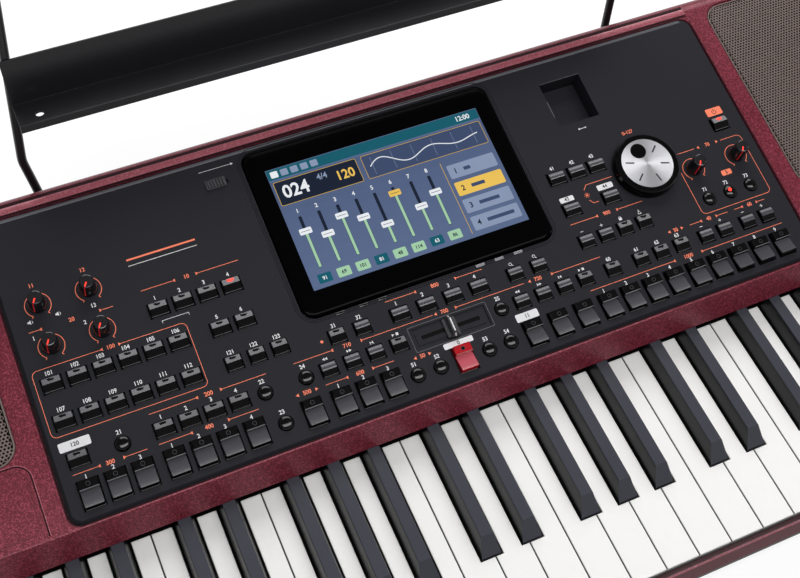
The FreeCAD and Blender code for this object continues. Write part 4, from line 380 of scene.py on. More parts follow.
NODE_FINISH = {
    "burgundy_paint": ("left_end_cover", "right_end_cover", "center_cover"),
    "slip_lacquer_painted_shade": ("key_slip",),
    "panel_black": ("control_panel",),
    "case_black": ("bottom_case", "rear_panel", "display_shell"),
    "speaker_black": ("speakers",),
    "frame_steel": ("key_frame", "joystick_gimbal"),
    "rod_steel": ("key_pivot_rod",),
    "spring_steel": ("key_springs",),
    "screw_steel": ("case_screws",),
    "supply_metal": ("power_supply",),
    "circuit_green": ("contact_strip", "panel_board", "main_board"),
    "socket_black": ("signal_sockets", "mains_inlet"),
    "rubber": ("rubber_feet",),
    "key_white": tuple(name + "_keys" for name in "cdefgab"),
    "key_black": tuple(name + "_sharp_keys" for name in "cdfga"),
    "cap_gloss": ("joystick",),
    "stand_black": ("stand_frame", "stand_tray"),
}


def dress_nodes():
    """Puts its finish on each solid that no piece replaces."""
    for finish, names in NODE_FINISH.items():
        for name in names:
            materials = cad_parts[name].data.materials
            materials.clear()
            materials.append(FINISH[finish])


SLIP_FRONT_FACING, SLIP_EDGE_FACING = 0.95, 0.25


def dress_slip():
    """The slip's top gets a darker copy of the lacquer as painted shade, its rounded edge a
    painted highlight, and its front a plainer lacquer.
    """
    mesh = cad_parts["key_slip"].data
    for finish in ("burgundy_painted_highlight", "slip_front"):
        mesh.materials.append(FINISH[finish])
    for face in mesh.polygons:
        ahead = -face.normal.y
        if ahead > SLIP_FRONT_FACING:
            face.material_index = 2
        elif ahead > SLIP_EDGE_FACING:
            face.material_index = 1
        else:
            face.material_index = 0


SOFT_EDGES = {
    0.22: NODE_FINISH["key_white"],
    0.55: NODE_FINISH["key_black"],
    0.25: ("control_panel", "key_slip", "stand_tray"),
}
WELD_REACH = 0.002
FLAT_ANGLE, SHARP_ANGLE = math.radians(0.5), math.radians(35.0)


def soften_edges():
    """Rounds the solids' sharp edges a little, as a mould does."""
    for wide, names in SOFT_EDGES.items():
        for name in names:
            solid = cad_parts[name]
            weld = solid.modifiers.new("weld", "WELD")
            weld.merge_threshold = WELD_REACH * MM
            plain = solid.modifiers.new("plain", "DECIMATE")
            plain.decimate_type = "DISSOLVE"
            plain.angle_limit = FLAT_ANGLE
            soft = solid.modifiers.new("soft", "BEVEL")
            soft.width = wide * MM
            soft.segments = 3
            soft.limit_method = "ANGLE"
            soft.angle_limit = SHARP_ANGLE
            even = solid.modifiers.new("even", "WEIGHTED_NORMAL")
            even.keep_sharp = False


# Shapes


def rounded_box(left, front, right, rear, radius, steps=6):
    """A closed line of points round a box with round corners, anticlockwise."""
    line = []
    corners = ((right - radius, rear - radius, 0.0), (left + radius, rear - radius, 90.0),
               (left + radius, front + radius, 180.0), (right - radius, front + radius, 270.0))
    for across, up, start in corners:
        for step in range(steps + 1):
            turn = math.radians(start + 90.0 * step / steps)
            line.append((across + radius * math.cos(turn), up + radius * math.sin(turn)))
    return line


def arc(across, up, radius, start, end, steps=24):
    """Points on an arc, from one angle to another, in degrees."""
    turns = [math.radians(start + (end - start) * step / steps) for step in range(steps + 1)]
    return [(across + radius * math.cos(t), up + radius * math.sin(t)) for t in turns]


def inset_box(box, inset, radius, steps=8):
    """A round-cornered box, drawn in from each side of another."""
    left, front, right, rear = box
    return rounded_box(left + inset, front + inset, right - inset, rear - inset, radius, steps)


def box_about(middle, half_wide, half_deep, radius, steps=3):
    """A round-cornered box about its middle."""
    across, up = middle
    return rounded_box(across - half_wide, up - half_deep, across + half_wide, up + half_deep,
                       radius, steps)


def on_panel(middle):
    """The place of a piece whose own middle stands there on the panel."""
    return PANEL_PLACE @ Matrix.Translation((middle[0] * MM, middle[1] * MM, 0.0))


def circle(across, up, radius, steps):
    return arc(across, up, radius, 0.0, 360.0, steps)[:-1]


GLYPHS = {}
GLYPH_WEIGHT = 0.022


def glyph(text):
    """The flat outline mesh of a number, one high, centred across."""
    if text not in GLYPHS:
        curve = bpy.data.curves.new("figure", "FONT")
        curve.body = text
        curve.align_x = "CENTER"
        curve.align_y = "CENTER"
        curve.resolution_u = 3
        curve.offset = GLYPH_WEIGHT
        holder = bpy.data.objects.new("figure", curve)
        mesh = bpy.data.meshes.new_from_object(holder)
        GLYPHS[text] = ([tuple(v.co[:2]) for v in mesh.vertices],
                        [tuple(p.vertices) for p in mesh.polygons])
        bpy.data.objects.remove(holder)
        bpy.data.curves.remove(curve)
        bpy.data.meshes.remove(mesh)
    return GLYPHS[text]


class Shape:
    """Points in millimetres and faces with their finishes, gathered into one piece."""

    def __init__(self):
        self.points, self.faces, self.finish_of, self.smooth = [], [], [], []

    def add(self, points, faces, finishes, smooth=True):
        start = len(self.points)
        self.points.extend(points)
        for index, face in enumerate(faces):
            self.faces.append([start + corner for corner in face])
            self.finish_of.append(finishes[index] if isinstance(finishes, list) else finishes)
            self.smooth.append(smooth)

    def loft(self, rings, finish=0, ends=(True, True), by_edge=None, by_band=None, smooth=True):
        """Skin over rings of equal count. A finish may follow the edge or the band."""
        count = len(rings[0])
        faces, finishes = [], []
        for band in range(len(rings) - 1):
            for edge in range(count):
                after = (edge + 1) % count
                low, high = band * count, (band + 1) * count
                faces.append((low + edge, low + after, high + after, high + edge))
                kind = by_edge[edge] if by_edge else by_band[band] if by_band else finish
                finishes.append(kind)
        last = (len(rings) - 1) * count
        if ends[0]:
            faces.append(tuple(range(count - 1, -1, -1)))
            finishes.append(finishes[0])
        if ends[1]:
            faces.append(tuple(range(last, last + count)))
            finishes.append(finishes[last - 1])
        self.add([point for ring in rings for point in ring], faces, finishes, smooth)

    def lathe(self, outline, across=0.0, up=0.0, steps=40, finish=0, by_band=None,
              ends=(True, True)):
        """Turns (radius, height) pairs about an axis that stands out of the face."""
        rings = [[(across + radius * math.cos(2 * math.pi * s / steps),
                   up + radius * math.sin(2 * math.pi * s / steps), height)
                  for s in range(steps)] for radius, height in outline]
        self.loft(rings, finish, ends, by_band=by_band)

    def rim(self, lines, heights, finish=0, ends=(True, True), by_band=None, smooth=True):
        """Skin over flat closed lines, each at its own height."""
        self.loft([[(u, v, high) for u, v in line] for line, high in zip(lines, heights)],
                  finish, ends, by_band=by_band, smooth=smooth)

    def stepped(self, middle, table, steps=3, ends=(True, True), smooth=True):
        """Skin over boxes about one middle: (half wide, half deep, corner, height)."""
        lines = [box_about(middle, wide, deep, corner, steps) for wide, deep, corner, _ in table]
        self.rim(lines, [row[-1] for row in table], ends=ends, smooth=smooth)

    def flat(self, line, high, finish=0):
        self.add([(u, v, high) for u, v in line], [tuple(range(len(line)))], finish)

    def stroke(self, line, wide, high, finish=0, closed=False):
        """A flat line of one width along points, mitred at its corners."""
        count = len(line)
        sides = ([], [])
        for index in range(count):
            here = Vector(line[index])
            ways = []
            if index > 0 or closed:
                ways.append((here - Vector(line[index - 1])).normalized())
            if index < count - 1 or closed:
                ways.append((Vector(line[(index + 1) % count]) - here).normalized())
            way = sum(ways, Vector((0.0, 0.0))).normalized()
            square = Vector((-way.y, way.x))
            stretch = max(0.5, abs(square.dot(Vector((-ways[0].y, ways[0].x)))))
            offset = square * (wide / 2 / stretch)
            sides[0].append(here - offset)
            sides[1].append(here + offset)
        points = [(p.x, p.y, high) for side in sides for p in side]
        last = count if closed else count - 1
        faces = [(i, (i + 1) % count, count + (i + 1) % count, count + i) for i in range(last)]
        self.add(points, faces, finish)

    def figure(self, text, across, up, size, high, finish=0, narrow=0.94):
        points, faces = glyph(text)
        self.add([(across + x * size * narrow, up + y * size, high) for x, y in points],
                 faces, finish)

    def piece(self, name, body, finishes, slot, stands_for=(), place=PANEL_PLACE, sharp=32.0,
              sheet=False, tints=None):
        """Makes the piece and puts it in place on its body; its slot is not used."""
        mesh = bpy.data.meshes.new(name)
        mesh.from_pydata([[MM * value for value in point] for point in self.points], [],
                         self.faces)
        for finish in finishes:
            mesh.materials.append(FINISH[finish])
        if tints:
            layer = mesh.color_attributes.new("Tint", "FLOAT_COLOR", "CORNER")
            colours = []
            for face, kind in zip(self.faces, self.finish_of):
                colours.extend(tints[kind] * len(face))
            layer.data.foreach_set("color", colours)
        else:
            mesh.polygons.foreach_set("material_index", self.finish_of)
        mesh.polygons.foreach_set("use_smooth", self.smooth)
        if not sheet:
            work = bmesh.new()
            work.from_mesh(mesh)
            bmesh.ops.recalc_face_normals(work, faces=work.faces)
            work.to_mesh(mesh)
            work.free()
        mesh.set_sharp_from_angle(angle=math.radians(sharp))
        made = bpy.data.objects.new(name, mesh)
        bpy.context.scene.collection.objects.link(made)
        made.matrix_world = place
        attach(made, body)
        if stands_for:
            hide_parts(*stands_for)
        return made


# Buttons: (group, kind, across, up, pitch, lamps), with one lamp sign for each button
NO_LAMP, DARK_LAMP, LIT_LAMP = "012"
BUTTON_ROWS = {
    "mode": ("mode_buttons", "wedge", -172.5, 118.2, 15.9, "1112"),
    "global": ("mode_buttons", "wedge", -140.8, 93.4, 15.9, "11"),
    "style_upper": ("style_buttons", "wedge", -246.8, 93.4, 15.8, "111111"),
    "style_lower": ("style_buttons", "wedge", -246.8, 69.3, 15.8, "111111"),
    "chord": ("style_buttons", "wedge", -246.0, 44.4, 15.8, "1"),
    "bass": ("pad_buttons", "small", -140.9, 69.0, 15.1, "111"),
    "pad": ("pad_buttons", "wedge", -193.6, 44.5, 15.8, "1111"),
    "intro": ("arranger_buttons", "tier", -245.2, 22.3, 16.4, "111"),
    "variation": ("arranger_buttons", "tier", -193.0, 22.3, 16.7, "1111"),
    "break": ("arranger_buttons", "tier", -105.6, 22.3, 16.7, "1"),
    "ending": ("arranger_buttons", "tier", -86.0, 22.3, 16.7, "111"),
    "start_stop": ("start_stop_button", "tier", -3.4, 22.3, 16.7, "1"),
    "setting": ("library_buttons", "tier", 47.0, 22.3, 18.9, "111"),
    "library": ("library_buttons", "tier", 103.3, 22.3, 17.03, "111111111"),
    "record": ("player_buttons", "small", -74.4, 63.6, 17.1, "10"),
    "keyboard_set": ("player_buttons", "wedge", -31.0, 63.9, 18.7, "0000"),
    "search": ("player_buttons", "small", 51.9, 64.0, 17.5, "00"),
    "first_player": ("player_buttons", "small", -87.3, 45.0, 15.9, "0001"),
    "second_player": ("player_buttons", "small", 48.0, 44.8, 15.8, "0001"),
    "lyrics": ("menu_buttons", "wedge", 109.2, 118.7, 15.35, "000"),
    "exit": ("menu_buttons", "wedge", 109.1, 93.8, 30.2, "00"),
    "tempo": ("menu_buttons", "small", 108.4, 69.2, 14.9, "0011"),
    "split": ("transpose_buttons", "small", 116.5, 45.0, 15.0, "1"),
    "scan": ("transpose_buttons", "small", 138.3, 45.0, 15.9, "111"),
    "octave": ("transpose_buttons", "small", 190.0, 45.0, 15.0, "00"),
    "transpose": ("transpose_buttons", "small", 223.6, 45.0, 15.6, "00"),
    "power": ("power_button", "wedge", 241.8, 120.0, 15.0, "2"),
    "to_keys": ("round_buttons", "round", -219.4, 44.4, 15.0, "0"),
    "pad_stop": ("round_buttons", "round", -129.5, 44.6, 15.0, "0"),
    "auto_fill": ("round_buttons", "round", -124.5, 22.2, 15.0, "0"),
    "first_select": ("round_buttons", "round", -102.5, 45.0, 15.0, "0"),
    "second_select": ("round_buttons", "round", 33.0, 44.7, 15.0, "0"),
    "synchro": ("round_buttons", "round", -36.1, 22.2, 15.9, "00"),
    "fade": ("round_buttons", "round", 14.1, 22.2, 15.4, "00"),
    "harmony": ("round_buttons", "round", 206.2, 69.6, 16.9, "020"),
}
# Caps' rear facets and pads get a lighter finish as painted sheen, and their edge bevels a painted
# highlight.
CAP_GLOSS, CAP_SHEEN, CAP_EDGE_HIGHLIGHT, LAMP_DARK, LAMP_RIM, LAMP_LIT = range(6)
CAP_FINISHES = ("cap_gloss", "cap_painted_sheen", "cap_edge", "lamp_dark", "lamp_rim", "lamp_lit")
RED_FINISHES = ("cap_red", "cap_red_painted_sheen", "cap_red_painted_sheen", "lamp_dark", "lamp_rim", "lamp_lit")
CAP_WIDE, CAP_NARROW, TIER_WIDE = 11.3, 9.7, 11.7
CAP_FOOT = -3.0
CAP_SOFT = 0.35


def button_places(row):
    """The middle of each button of a row."""
    across, up, pitch, lamps = BUTTON_ROWS[row][2:]
    return [(across + pitch * index, up) for index in range(len(lamps))]


def bar_cap(shape, across, up, wide, outline, finishes, smooth=False):
    """A cap of one outline along its width, with softened ends."""
    rings = []
    for offset, inset in ((-wide / 2, CAP_SOFT), (-wide / 2 + CAP_SOFT, 0.0),
                          (wide / 2 - CAP_SOFT, 0.0), (wide / 2, CAP_SOFT)):
        ring = []
        for v, w in outline:
            v_in = v - math.copysign(min(inset, abs(v)), v)
            ring.append((across + offset, up + v_in, w - inset if w > CAP_FOOT else w))
        rings.append(ring)
    shape.loft(rings, by_edge=finishes, smooth=smooth)


WEDGE_OUTLINE = [(-4.4, CAP_FOOT), (-4.4, 0.95), (-4.15, 1.4), (0.2, 3.4), (4.1, 2.5), (4.4, 2.15),
                 (4.4, CAP_FOOT)]
WEDGE_FINISHES = [CAP_GLOSS, CAP_EDGE_HIGHLIGHT, CAP_GLOSS, CAP_SHEEN, CAP_GLOSS, CAP_GLOSS, CAP_GLOSS]
ROLLED_OUTLINE = [(-4.4, CAP_FOOT), (-4.4, 0.95), (-4.15, 1.4), (-1.35, 2.75), (-0.8, 3.05),
                  (0.2, 3.28), (1.45, 3.18), (2.7, 2.9), (3.8, 2.45), (4.4, 1.9), (4.4, CAP_FOOT)]
ROLLED_FINISHES = [CAP_GLOSS, CAP_EDGE_HIGHLIGHT, CAP_GLOSS, CAP_GLOSS, CAP_SHEEN, CAP_SHEEN, CAP_SHEEN,
                   CAP_SHEEN, CAP_GLOSS, CAP_GLOSS, CAP_GLOSS]
TIER_OUTLINE = [(-8.4, CAP_FOOT), (-8.4, 2.7), (-8.0, 3.45), (-7.4, 3.66), (2.1, 1.6), (2.5, 1.62),
                (2.5, 4.2), (2.8, 4.55), (8.0, 4.6), (8.4, 4.2), (8.4, CAP_FOOT)]
TIER_FINISHES = [CAP_GLOSS, CAP_GLOSS, CAP_GLOSS, CAP_SHEEN, CAP_GLOSS, CAP_GLOSS, CAP_EDGE_HIGHLIGHT,
                 CAP_GLOSS, CAP_GLOSS, CAP_GLOSS, CAP_GLOSS]
ROUND_OUTLINE = [(4.7, CAP_FOOT), (4.7, 0.7), (4.5, 1.25), (3.95, 1.75), (3.0, 2.15), (1.6, 2.37),
                 (0.05, 2.43)]


ROUND_LAMP = [(1.4, 2.1), (1.3, 2.5), (0.05, 2.58)]
ROUND_LAMP_ASIDE = 0.8
SKIRT_SIZES = {"wedge": (12.6, 4.9), "small": (10.8, 4.9), "tier": (13.0, 9.0)}
SKIRT_EDGE, SKIRT_TOP, SKIRT_SOFT = -1.7, -1.4, 0.3
WEDGE_FACE = (*WEDGE_OUTLINE[3], *WEDGE_OUTLINE[4])
FACE_LIFT = 0.05
LAMP_REAR, LAMP_RADIUS, LAMP_RISE = 3.6, 2.3, 0.3
LAMP_DEEP_SHARE = 0.9
LAMP_TOP_ACROSS, LAMP_TOP_UP = 0.72, 0.68
TIER_LAMP_UP, TIER_LAMP_RADIUS, TIER_LAMP_HIGH = 5.4, 1.15, 4.63
TIER_RING_RADIUS, TIER_RING_WIDE, TIER_RING_HIGH = 1.25, 0.22, 4.65


def on_slope(line, start, start_high, end, end_high):
    """Lifts flat points onto a face that runs from one (up, height) to another."""
    fall = (end_high - start_high) / (end - start)
    return [(u, v, start_high + (v - start) * fall + FACE_LIFT) for u, v in line]


def cap_skirt(shape, across, up, kind):
    """The dark flange under a cap that closes its hole in the panel."""
    wide, reach = SKIRT_SIZES[kind]
    outline = [(-reach, CAP_FOOT), (-reach, SKIRT_EDGE), (-reach + SKIRT_SOFT, SKIRT_TOP),
               (reach - SKIRT_SOFT, SKIRT_TOP), (reach, SKIRT_EDGE), (reach, CAP_FOOT)]
    bar_cap(shape, across, up, wide, outline, [LAMP_DARK] * len(outline))


def wedge_lamp(shape, across, up, lit):
    """The half-round window that stands up at the rear of a wedge cap's face."""
    bow = [(u, LAMP_REAR + (v - LAMP_REAR) * LAMP_DEEP_SHARE)
           for u, v in arc(0.0, LAMP_REAR, LAMP_RADIUS, 180.0, 360.0, 14)]
    inner = [(u * LAMP_TOP_ACROSS, LAMP_REAR + (v - LAMP_REAR) * LAMP_TOP_UP) for u, v in bow]
    count = len(bow)
    points = on_slope(bow + inner, *WEDGE_FACE)
    points = [(across + u, up + v, w + (LAMP_RISE if index >= count else 0.0))
              for index, (u, v, w) in enumerate(points)]
    faces = [(i, i + 1, count + i + 1, count + i) for i in range(count - 1)]
    faces.append(tuple(range(count, 2 * count)))
    faces.append((0, count, 2 * count - 1, count - 1))
    shape.add(points, faces, LAMP_LIT if lit else LAMP_DARK, False)


def tier_lamp(shape, across, up):
    """The small ring-shaped window on the rear block of a two-tier cap."""
    middle = up + TIER_LAMP_UP
    shape.flat(circle(across, middle, TIER_LAMP_RADIUS, 20), TIER_LAMP_HIGH, LAMP_DARK)
    shape.stroke(circle(across, middle, TIER_RING_RADIUS, 20), TIER_RING_WIDE, TIER_RING_HIGH,
                 LAMP_RIM, closed=True)


def make_cap(shape, kind, across, up, lamp):
    """One button's cap, with the skirt and the lamp of its kind."""
    if kind in SKIRT_SIZES:
        cap_skirt(shape, across, up, kind)
    if kind == "tier":
        bar_cap(shape, across, up, TIER_WIDE, TIER_OUTLINE, TIER_FINISHES)
        tier_lamp(shape, across, up)
    elif kind == "round":
        shape.lathe(ROUND_OUTLINE, across, up, 28, CAP_GLOSS)
        if lamp == LIT_LAMP:
            shape.lathe(ROUND_LAMP, across - ROUND_LAMP_ASIDE, up + ROUND_LAMP_ASIDE, 20, LAMP_LIT)
    else:
        wide = CAP_NARROW if kind == "small" else CAP_WIDE
        if lamp == NO_LAMP:
            bar_cap(shape, across, up, wide, ROLLED_OUTLINE, ROLLED_FINISHES, True)
        else:
            bar_cap(shape, across, up, wide, WEDGE_OUTLINE, WEDGE_FINISHES)
            wedge_lamp(shape, across, up, lamp == LIT_LAMP)


def make_caps():
    """One piece of caps for each group of buttons."""
    groups = {}
    for row, entry in BUTTON_ROWS.items():
        group, kind, lamps = entry[0], entry[1], entry[-1]
        shape = groups.setdefault(group, Shape())
        for (across, up), lamp in zip(button_places(row), lamps):
            make_cap(shape, kind, across, up, lamp)
    for group, shape in groups.items():
        red = group == "start_stop_button"
        shape.piece(group + "_caps", group, RED_FINISHES if red else CAP_FINISHES,
                    "cap_red" if red else "cap_black", (group,))


SWITCH_FIRST, SWITCH_PITCH, SWITCH_UP = -477.25, 26.0, 29.5


def make_assignable_switches():
    """The three switches on the bass cheek, made as wedge buttons are."""
    shape = Shape()
    for index in range(3):
        make_cap(shape, "wedge", SWITCH_FIRST + SWITCH_PITCH * index, SWITCH_UP, DARK_LAMP)
    shape.piece("assignable_switch_caps", "assignable_switches", CAP_FINISHES, "cap_black",
                ("assignable_switches",))


# Turning and sliding controls

KNOBS = {
    "bass_volume_knob": (-240.2, 145.3),
    "low_eq_knob": (-208.6, 145.3),
    "mid_eq_knob": (-240.2, 117.1),
    "high_eq_knob": (-208.6, 117.1),
    "voice_level_knob": (206.3, 94.0),
    "master_volume_knob": (241.2, 94.0),
}
KNOB_OUTLINE = [(5.8, 1.0), (5.8, 1.8), (5.65, 2.4), (4.72, 12.3), (4.5, 13.0), (4.2, 13.38),
                (3.85, 13.45), (3.6, 13.25), (0.05, 13.15)]
KNOB_BANDS = [0, 0, 0, 0, 0, 0, 0, 1]
KNOB_HEADING = math.radians(-121.0)
POINTER_START, POINTER_START_HALF = 0.6, 0.4
POINTER_END, POINTER_END_HALF = 3.7, 0.34
POINTER_HIGH = 13.28
POINTER_DOWN = ((4.26, 13.36), (4.58, 12.95), (4.8, 12.2), (5.7, 2.6))
POINTER_DOWN_HALF = 0.32


def make_knobs():
    """Smoked caps, each with a lit pointer on its top and a red line down its side."""
    ahead = Vector((math.cos(KNOB_HEADING), math.sin(KNOB_HEADING)))
    side = Vector((-ahead.y, ahead.x))
    near, far = ahead * POINTER_START, ahead * POINTER_END
    near_half, far_half = side * POINTER_START_HALF, side * POINTER_END_HALF
    top = [near + near_half, far + far_half, far - far_half, near - near_half]
    down = []
    for radius, high in POINTER_DOWN:
        for half in (-POINTER_DOWN_HALF, POINTER_DOWN_HALF):
            edge = ahead * radius + side * half
            down.append((edge.x, edge.y, high))
    for name, middle in KNOBS.items():
        shape = Shape()
        shape.lathe(KNOB_OUTLINE, steps=56, by_band=KNOB_BANDS)
        shape.add([(p.x, p.y, POINTER_HIGH) for p in top], [(0, 1, 2, 3)], 2)
        shape.add(down, [(0, 1, 3, 2), (2, 3, 5, 4), (4, 5, 7, 6)], 3)
        shape.piece(name + "_cap", name, ("knob_smoke", "knob_top", "lamp_lit", "pointer_red"),
                    "knob_smoke", (name,), on_panel(middle), sheet=True)


DIAL_MIDDLE = (172.0, 106.0)
DIAL_DIMPLE = (-2.2, 10.4)
DIAL_RIM = [(23.2, 0.8), (23.2, 2.8), (22.95, 5.4), (22.5, 7.2), (21.7, 7.95), (19.4, 8.0),
            (18.75, 7.9), (18.65, 7.5), (18.65, 5.0)]
DIAL_FACE, DISC_RADIUS, DISC_THICK = 7.85, 18.55, 0.9
DIMPLE_HOLE = 5.4
DIMPLE_BOWL = [(5.65, 0.02), (5.6, 0.25), (5.3, 0.28), (5.0, 0.05), (4.1, -1.0), (2.7, -1.8),
               (1.2, -2.15), (0.05, -2.2)]
DASH_HEADINGS = (42.0, -18.0, -78.0, -138.0, 162.0)
DASH_SPAN, DASH_WIDE, DASH_LIFT = (9.5, 15.8), 1.1, 0.05


def holed_disc(edge, hole, high):
    """Points and faces of a flat disc with a hole in it."""
    work = bmesh.new()
    for line in (edge, hole):
        corners = [work.verts.new((u, v, high)) for u, v in line]
        for index, corner in enumerate(corners):
            work.edges.new((corner, corners[(index + 1) % len(corners)]))
    bmesh.ops.triangle_fill(work, use_beauty=True, use_dissolve=False, edges=work.edges[:])
    work.verts.index_update()
    points = [tuple(v.co) for v in work.verts]
    faces = [tuple(v.index for v in f.verts) for f in work.faces]
    work.free()
    return points, faces


def make_dial():
    """A black rim, a brushed disc with its dashes, and a finger dimple."""
    place = on_panel(DIAL_MIDDLE)
    rim = Shape()
    rim.lathe(DIAL_RIM, steps=96)
    rim.piece("dial_rim", "value_dial", ("dial_rim",), "dial_metal", ("value_dial",), place)

    disc = Shape()
    edge = circle(0.0, 0.0, DISC_RADIUS, 96)
    points, faces = holed_disc(edge, circle(*DIAL_DIMPLE, DIMPLE_HOLE, 48), DIAL_FACE)
    disc.add(points, faces, 0)
    disc.rim([edge, edge], [DIAL_FACE - DISC_THICK, DIAL_FACE], ends=(False, False))
    disc.piece("dial_disc", "value_dial", ("dial_metal",), "dial_metal", (), place)

    marks = Shape()
    for heading in DASH_HEADINGS:
        turn = math.radians(heading)
        line = [(math.cos(turn) * reach, math.sin(turn) * reach) for reach in DASH_SPAN]
        marks.stroke(line, DASH_WIDE, DIAL_FACE + DASH_LIFT)
    bowl = [(radius, DIAL_FACE + high) for radius, high in DIMPLE_BOWL]
    marks.lathe(bowl, *DIAL_DIMPLE, 48, 1)
    marks.piece("dial_dimple", "value_dial", ("dial_dash", "dial_rim"), "dial_metal", (), place,
                sheet=True)


FADER_MIDDLE = (-3.4, 44.6)
FADER_FOOT = ((4.5, 6.6, 0.9, -1.2), (4.5, 6.6, 0.9, 0.5), (4.1, 6.2, 0.7, 0.9))
FADER_BLADE = [(2.3, 0.4), (2.0, 3.4), (1.5, 5.3), (0.9, 5.65), (-0.9, 5.65), (-1.5, 5.3),
               (-2.0, 3.4), (-2.3, 0.4)]
BLADE_HALF, BLADE_RAKE, RAKE_FROM = 7.1, 0.75, 2.6
FADER_LINE = [(-7.2, 2.4), (-4.95, 5.4), (-4.7, 5.7), (4.7, 5.7), (4.95, 5.4), (7.2, 2.4)]
FADER_LINE_HALF = 0.42
TRACK_STEPS = ((27.4, 8.4, 0.6, -0.15), (26.2, 7.2, 0.6, -0.5), (26.2, 7.2, 0.6, -1.5),
               (24.2, 4.6, 0.6, -1.5), (24.2, 4.6, 0.6, -1.0), (20.6, 1.4, 0.6, -1.0),
               (20.6, 1.4, 0.6, -1.55))
TRACK_SLOT, TRACK_FLOOR = (20.6, 1.4, 0.6), -1.54


def make_fader():
    """A blade on a low foot, with a white line over its ridge, and the track under it."""
    u, v = FADER_MIDDLE
    shape = Shape()
    shape.stepped(FADER_MIDDLE, FADER_FOOT, smooth=False)
    rings = [[(u + a, v + end * (BLADE_HALF - max(0.0, b - RAKE_FROM) * BLADE_RAKE), b)
              for a, b in FADER_BLADE] for end in (-1.0, 1.0)]
    shape.loft(rings, smooth=False)
    points = [(u + side * FADER_LINE_HALF, v + b, high) for side in (-1.0, 1.0)
              for b, high in FADER_LINE]
    count = len(FADER_LINE)
    shape.add(points, [(i, i + 1, count + 1 + i, count + i) for i in range(count - 1)], 1, False)
    shape.piece("fader_cap", "balance_fader", ("cap_grey", "print_white"), "cap_grey",
                ("balance_fader",))
    track = Shape()
    track.stepped(FADER_MIDDLE, TRACK_STEPS, ends=(False, False), smooth=False)
    track.flat(box_about(FADER_MIDDLE, *TRACK_SLOT), TRACK_FLOOR, 1)
    track.piece("fader_track", "case", ("panel_black", "lamp_dark"), "panel_black", sheet=True)


LOCK_MIDDLE = (-110.3, 188.8)
LOCK_BODY = ((7.0, 3.5, 1.2, 0.3), (7.0, 3.5, 1.2, 1.2), (6.5, 3.0, 0.9, 1.6))
LOCK_RIBS, RIB_FIRST, RIB_PITCH, RIB_HALF = 6, -5.0, 2.0, 2.8
RIB_OUTLINE = ((-0.65, 1.5), (-0.35, 2.8), (0.35, 2.8), (0.65, 1.5))


def make_display_lock():
    """A low slider with ribs for the finger."""
    u, v = LOCK_MIDDLE
    shape = Shape()
    shape.stepped(LOCK_MIDDLE, LOCK_BODY, 4)
    for index in range(LOCK_RIBS):
        middle = u + RIB_FIRST + RIB_PITCH * index
        shape.loft([[(middle + a, v + offset, b) for a, b in RIB_OUTLINE]
                    for offset in (-RIB_HALF, RIB_HALF)])
    shape.piece("display_lock_grip", "display_lock", ("cap_grey",), "cap_grey", ("display_lock",))


# Display

BEZEL = (-89.5, 80.2, 89.5, 203.0)
WINDOW = (-77.3, 96.7, 77.3, 186.7)
BEZEL_CORNER, WINDOW_CORNER = 9.0, 0.4
BEZEL_LOW, BEZEL_TOP, WINDOW_LOW = -1.7, 1.3, 0.2
BEZEL_STEPS = ((0.6, BEZEL_LOW), (0.0, BEZEL_LOW + 0.5), (0.0, 0.0), (0.35, 0.75), (1.1, 1.12),
               (2.3, BEZEL_TOP))
SURROUND_RIDGES = ((-1.35, -2.35), (-3.1, -3.7))
RIDGE_HEIGHTS, RIDGE_SOFT = [-0.4, 0.12, 0.34, 0.34, -0.02], 0.25
DARK_BLOCKS, PALE_BLOCKS = (-70.0, -54.0, -41.0), (29.0, 43.0, 57.0)
BLOCK_WIDE, BLOCK_FRONT, BLOCK_REAR, BLOCK_SOFT = 6.4, 76.6, 78.5, 0.25
BLOCK_HEIGHTS = [0.0, 0.45, 0.6]
PICTURE_HIGH = 1.24


def make_bezel():
    """The gloss frame of the display, and the ridges and small blocks round it."""
    shape = Shape()
    lines = [inset_box(BEZEL, inset, BEZEL_CORNER - inset) for inset, _ in BEZEL_STEPS]
    lines += [inset_box(WINDOW, 0.0, WINDOW_CORNER)] * 2
    shape.rim(lines, [high for _, high in BEZEL_STEPS] + [BEZEL_TOP, WINDOW_LOW],
              ends=(True, False))
    shape.piece("display_bezel_frame", "display", ("bezel_gloss",), "bezel_gloss",
                ("display_bezel",))
    surround = Shape()
    for near, far in SURROUND_RIDGES:
        soft = (far - near) * RIDGE_SOFT
        insets = (near, near, near + soft, far - soft, far)
        surround.rim([inset_box(BEZEL, inset, BEZEL_CORNER - inset) for inset in insets],
                     RIDGE_HEIGHTS, ends=(False, False), smooth=False)
    for lefts, finish in ((DARK_BLOCKS, 2), (PALE_BLOCKS, 1)):
        for left in lefts:
            block = (left, BLOCK_FRONT, left + BLOCK_WIDE, BLOCK_REAR)
            low = inset_box(block, 0.0, 0.4, 3)
            top = inset_box(block, BLOCK_SOFT, 0.3, 3)
            surround.rim([low, low, top], BLOCK_HEIGHTS, finish, smooth=False)
    surround.piece("display_surround", "case", ("panel_black", "cap_edge", "cap_gloss"),
                   "panel_black", sheet=True)


TINTS = {
    "sky": paint(92, 108, 142), "deep": paint(62, 76, 108), "pale": paint(138, 152, 180),
    "teal": paint(22, 92, 108), "gold": paint(206, 170, 74), "white": paint(236, 240, 244),
    "green": paint(164, 206, 170), "dark": paint(26, 34, 52), "amber": paint(238, 196, 92),
    "rust": paint(196, 92, 66),
}


SKY_BANDS, SKY_FADE = 10, 0.45
HEADER_DEEP = 9.0
LAYER = 0.002
LEVELS = (0.72, 0.55, 0.8, 0.64, 0.38, 0.9, 0.5, 0.68)
CHOSEN_LEVEL, CHOSEN_ROW = 5, 2


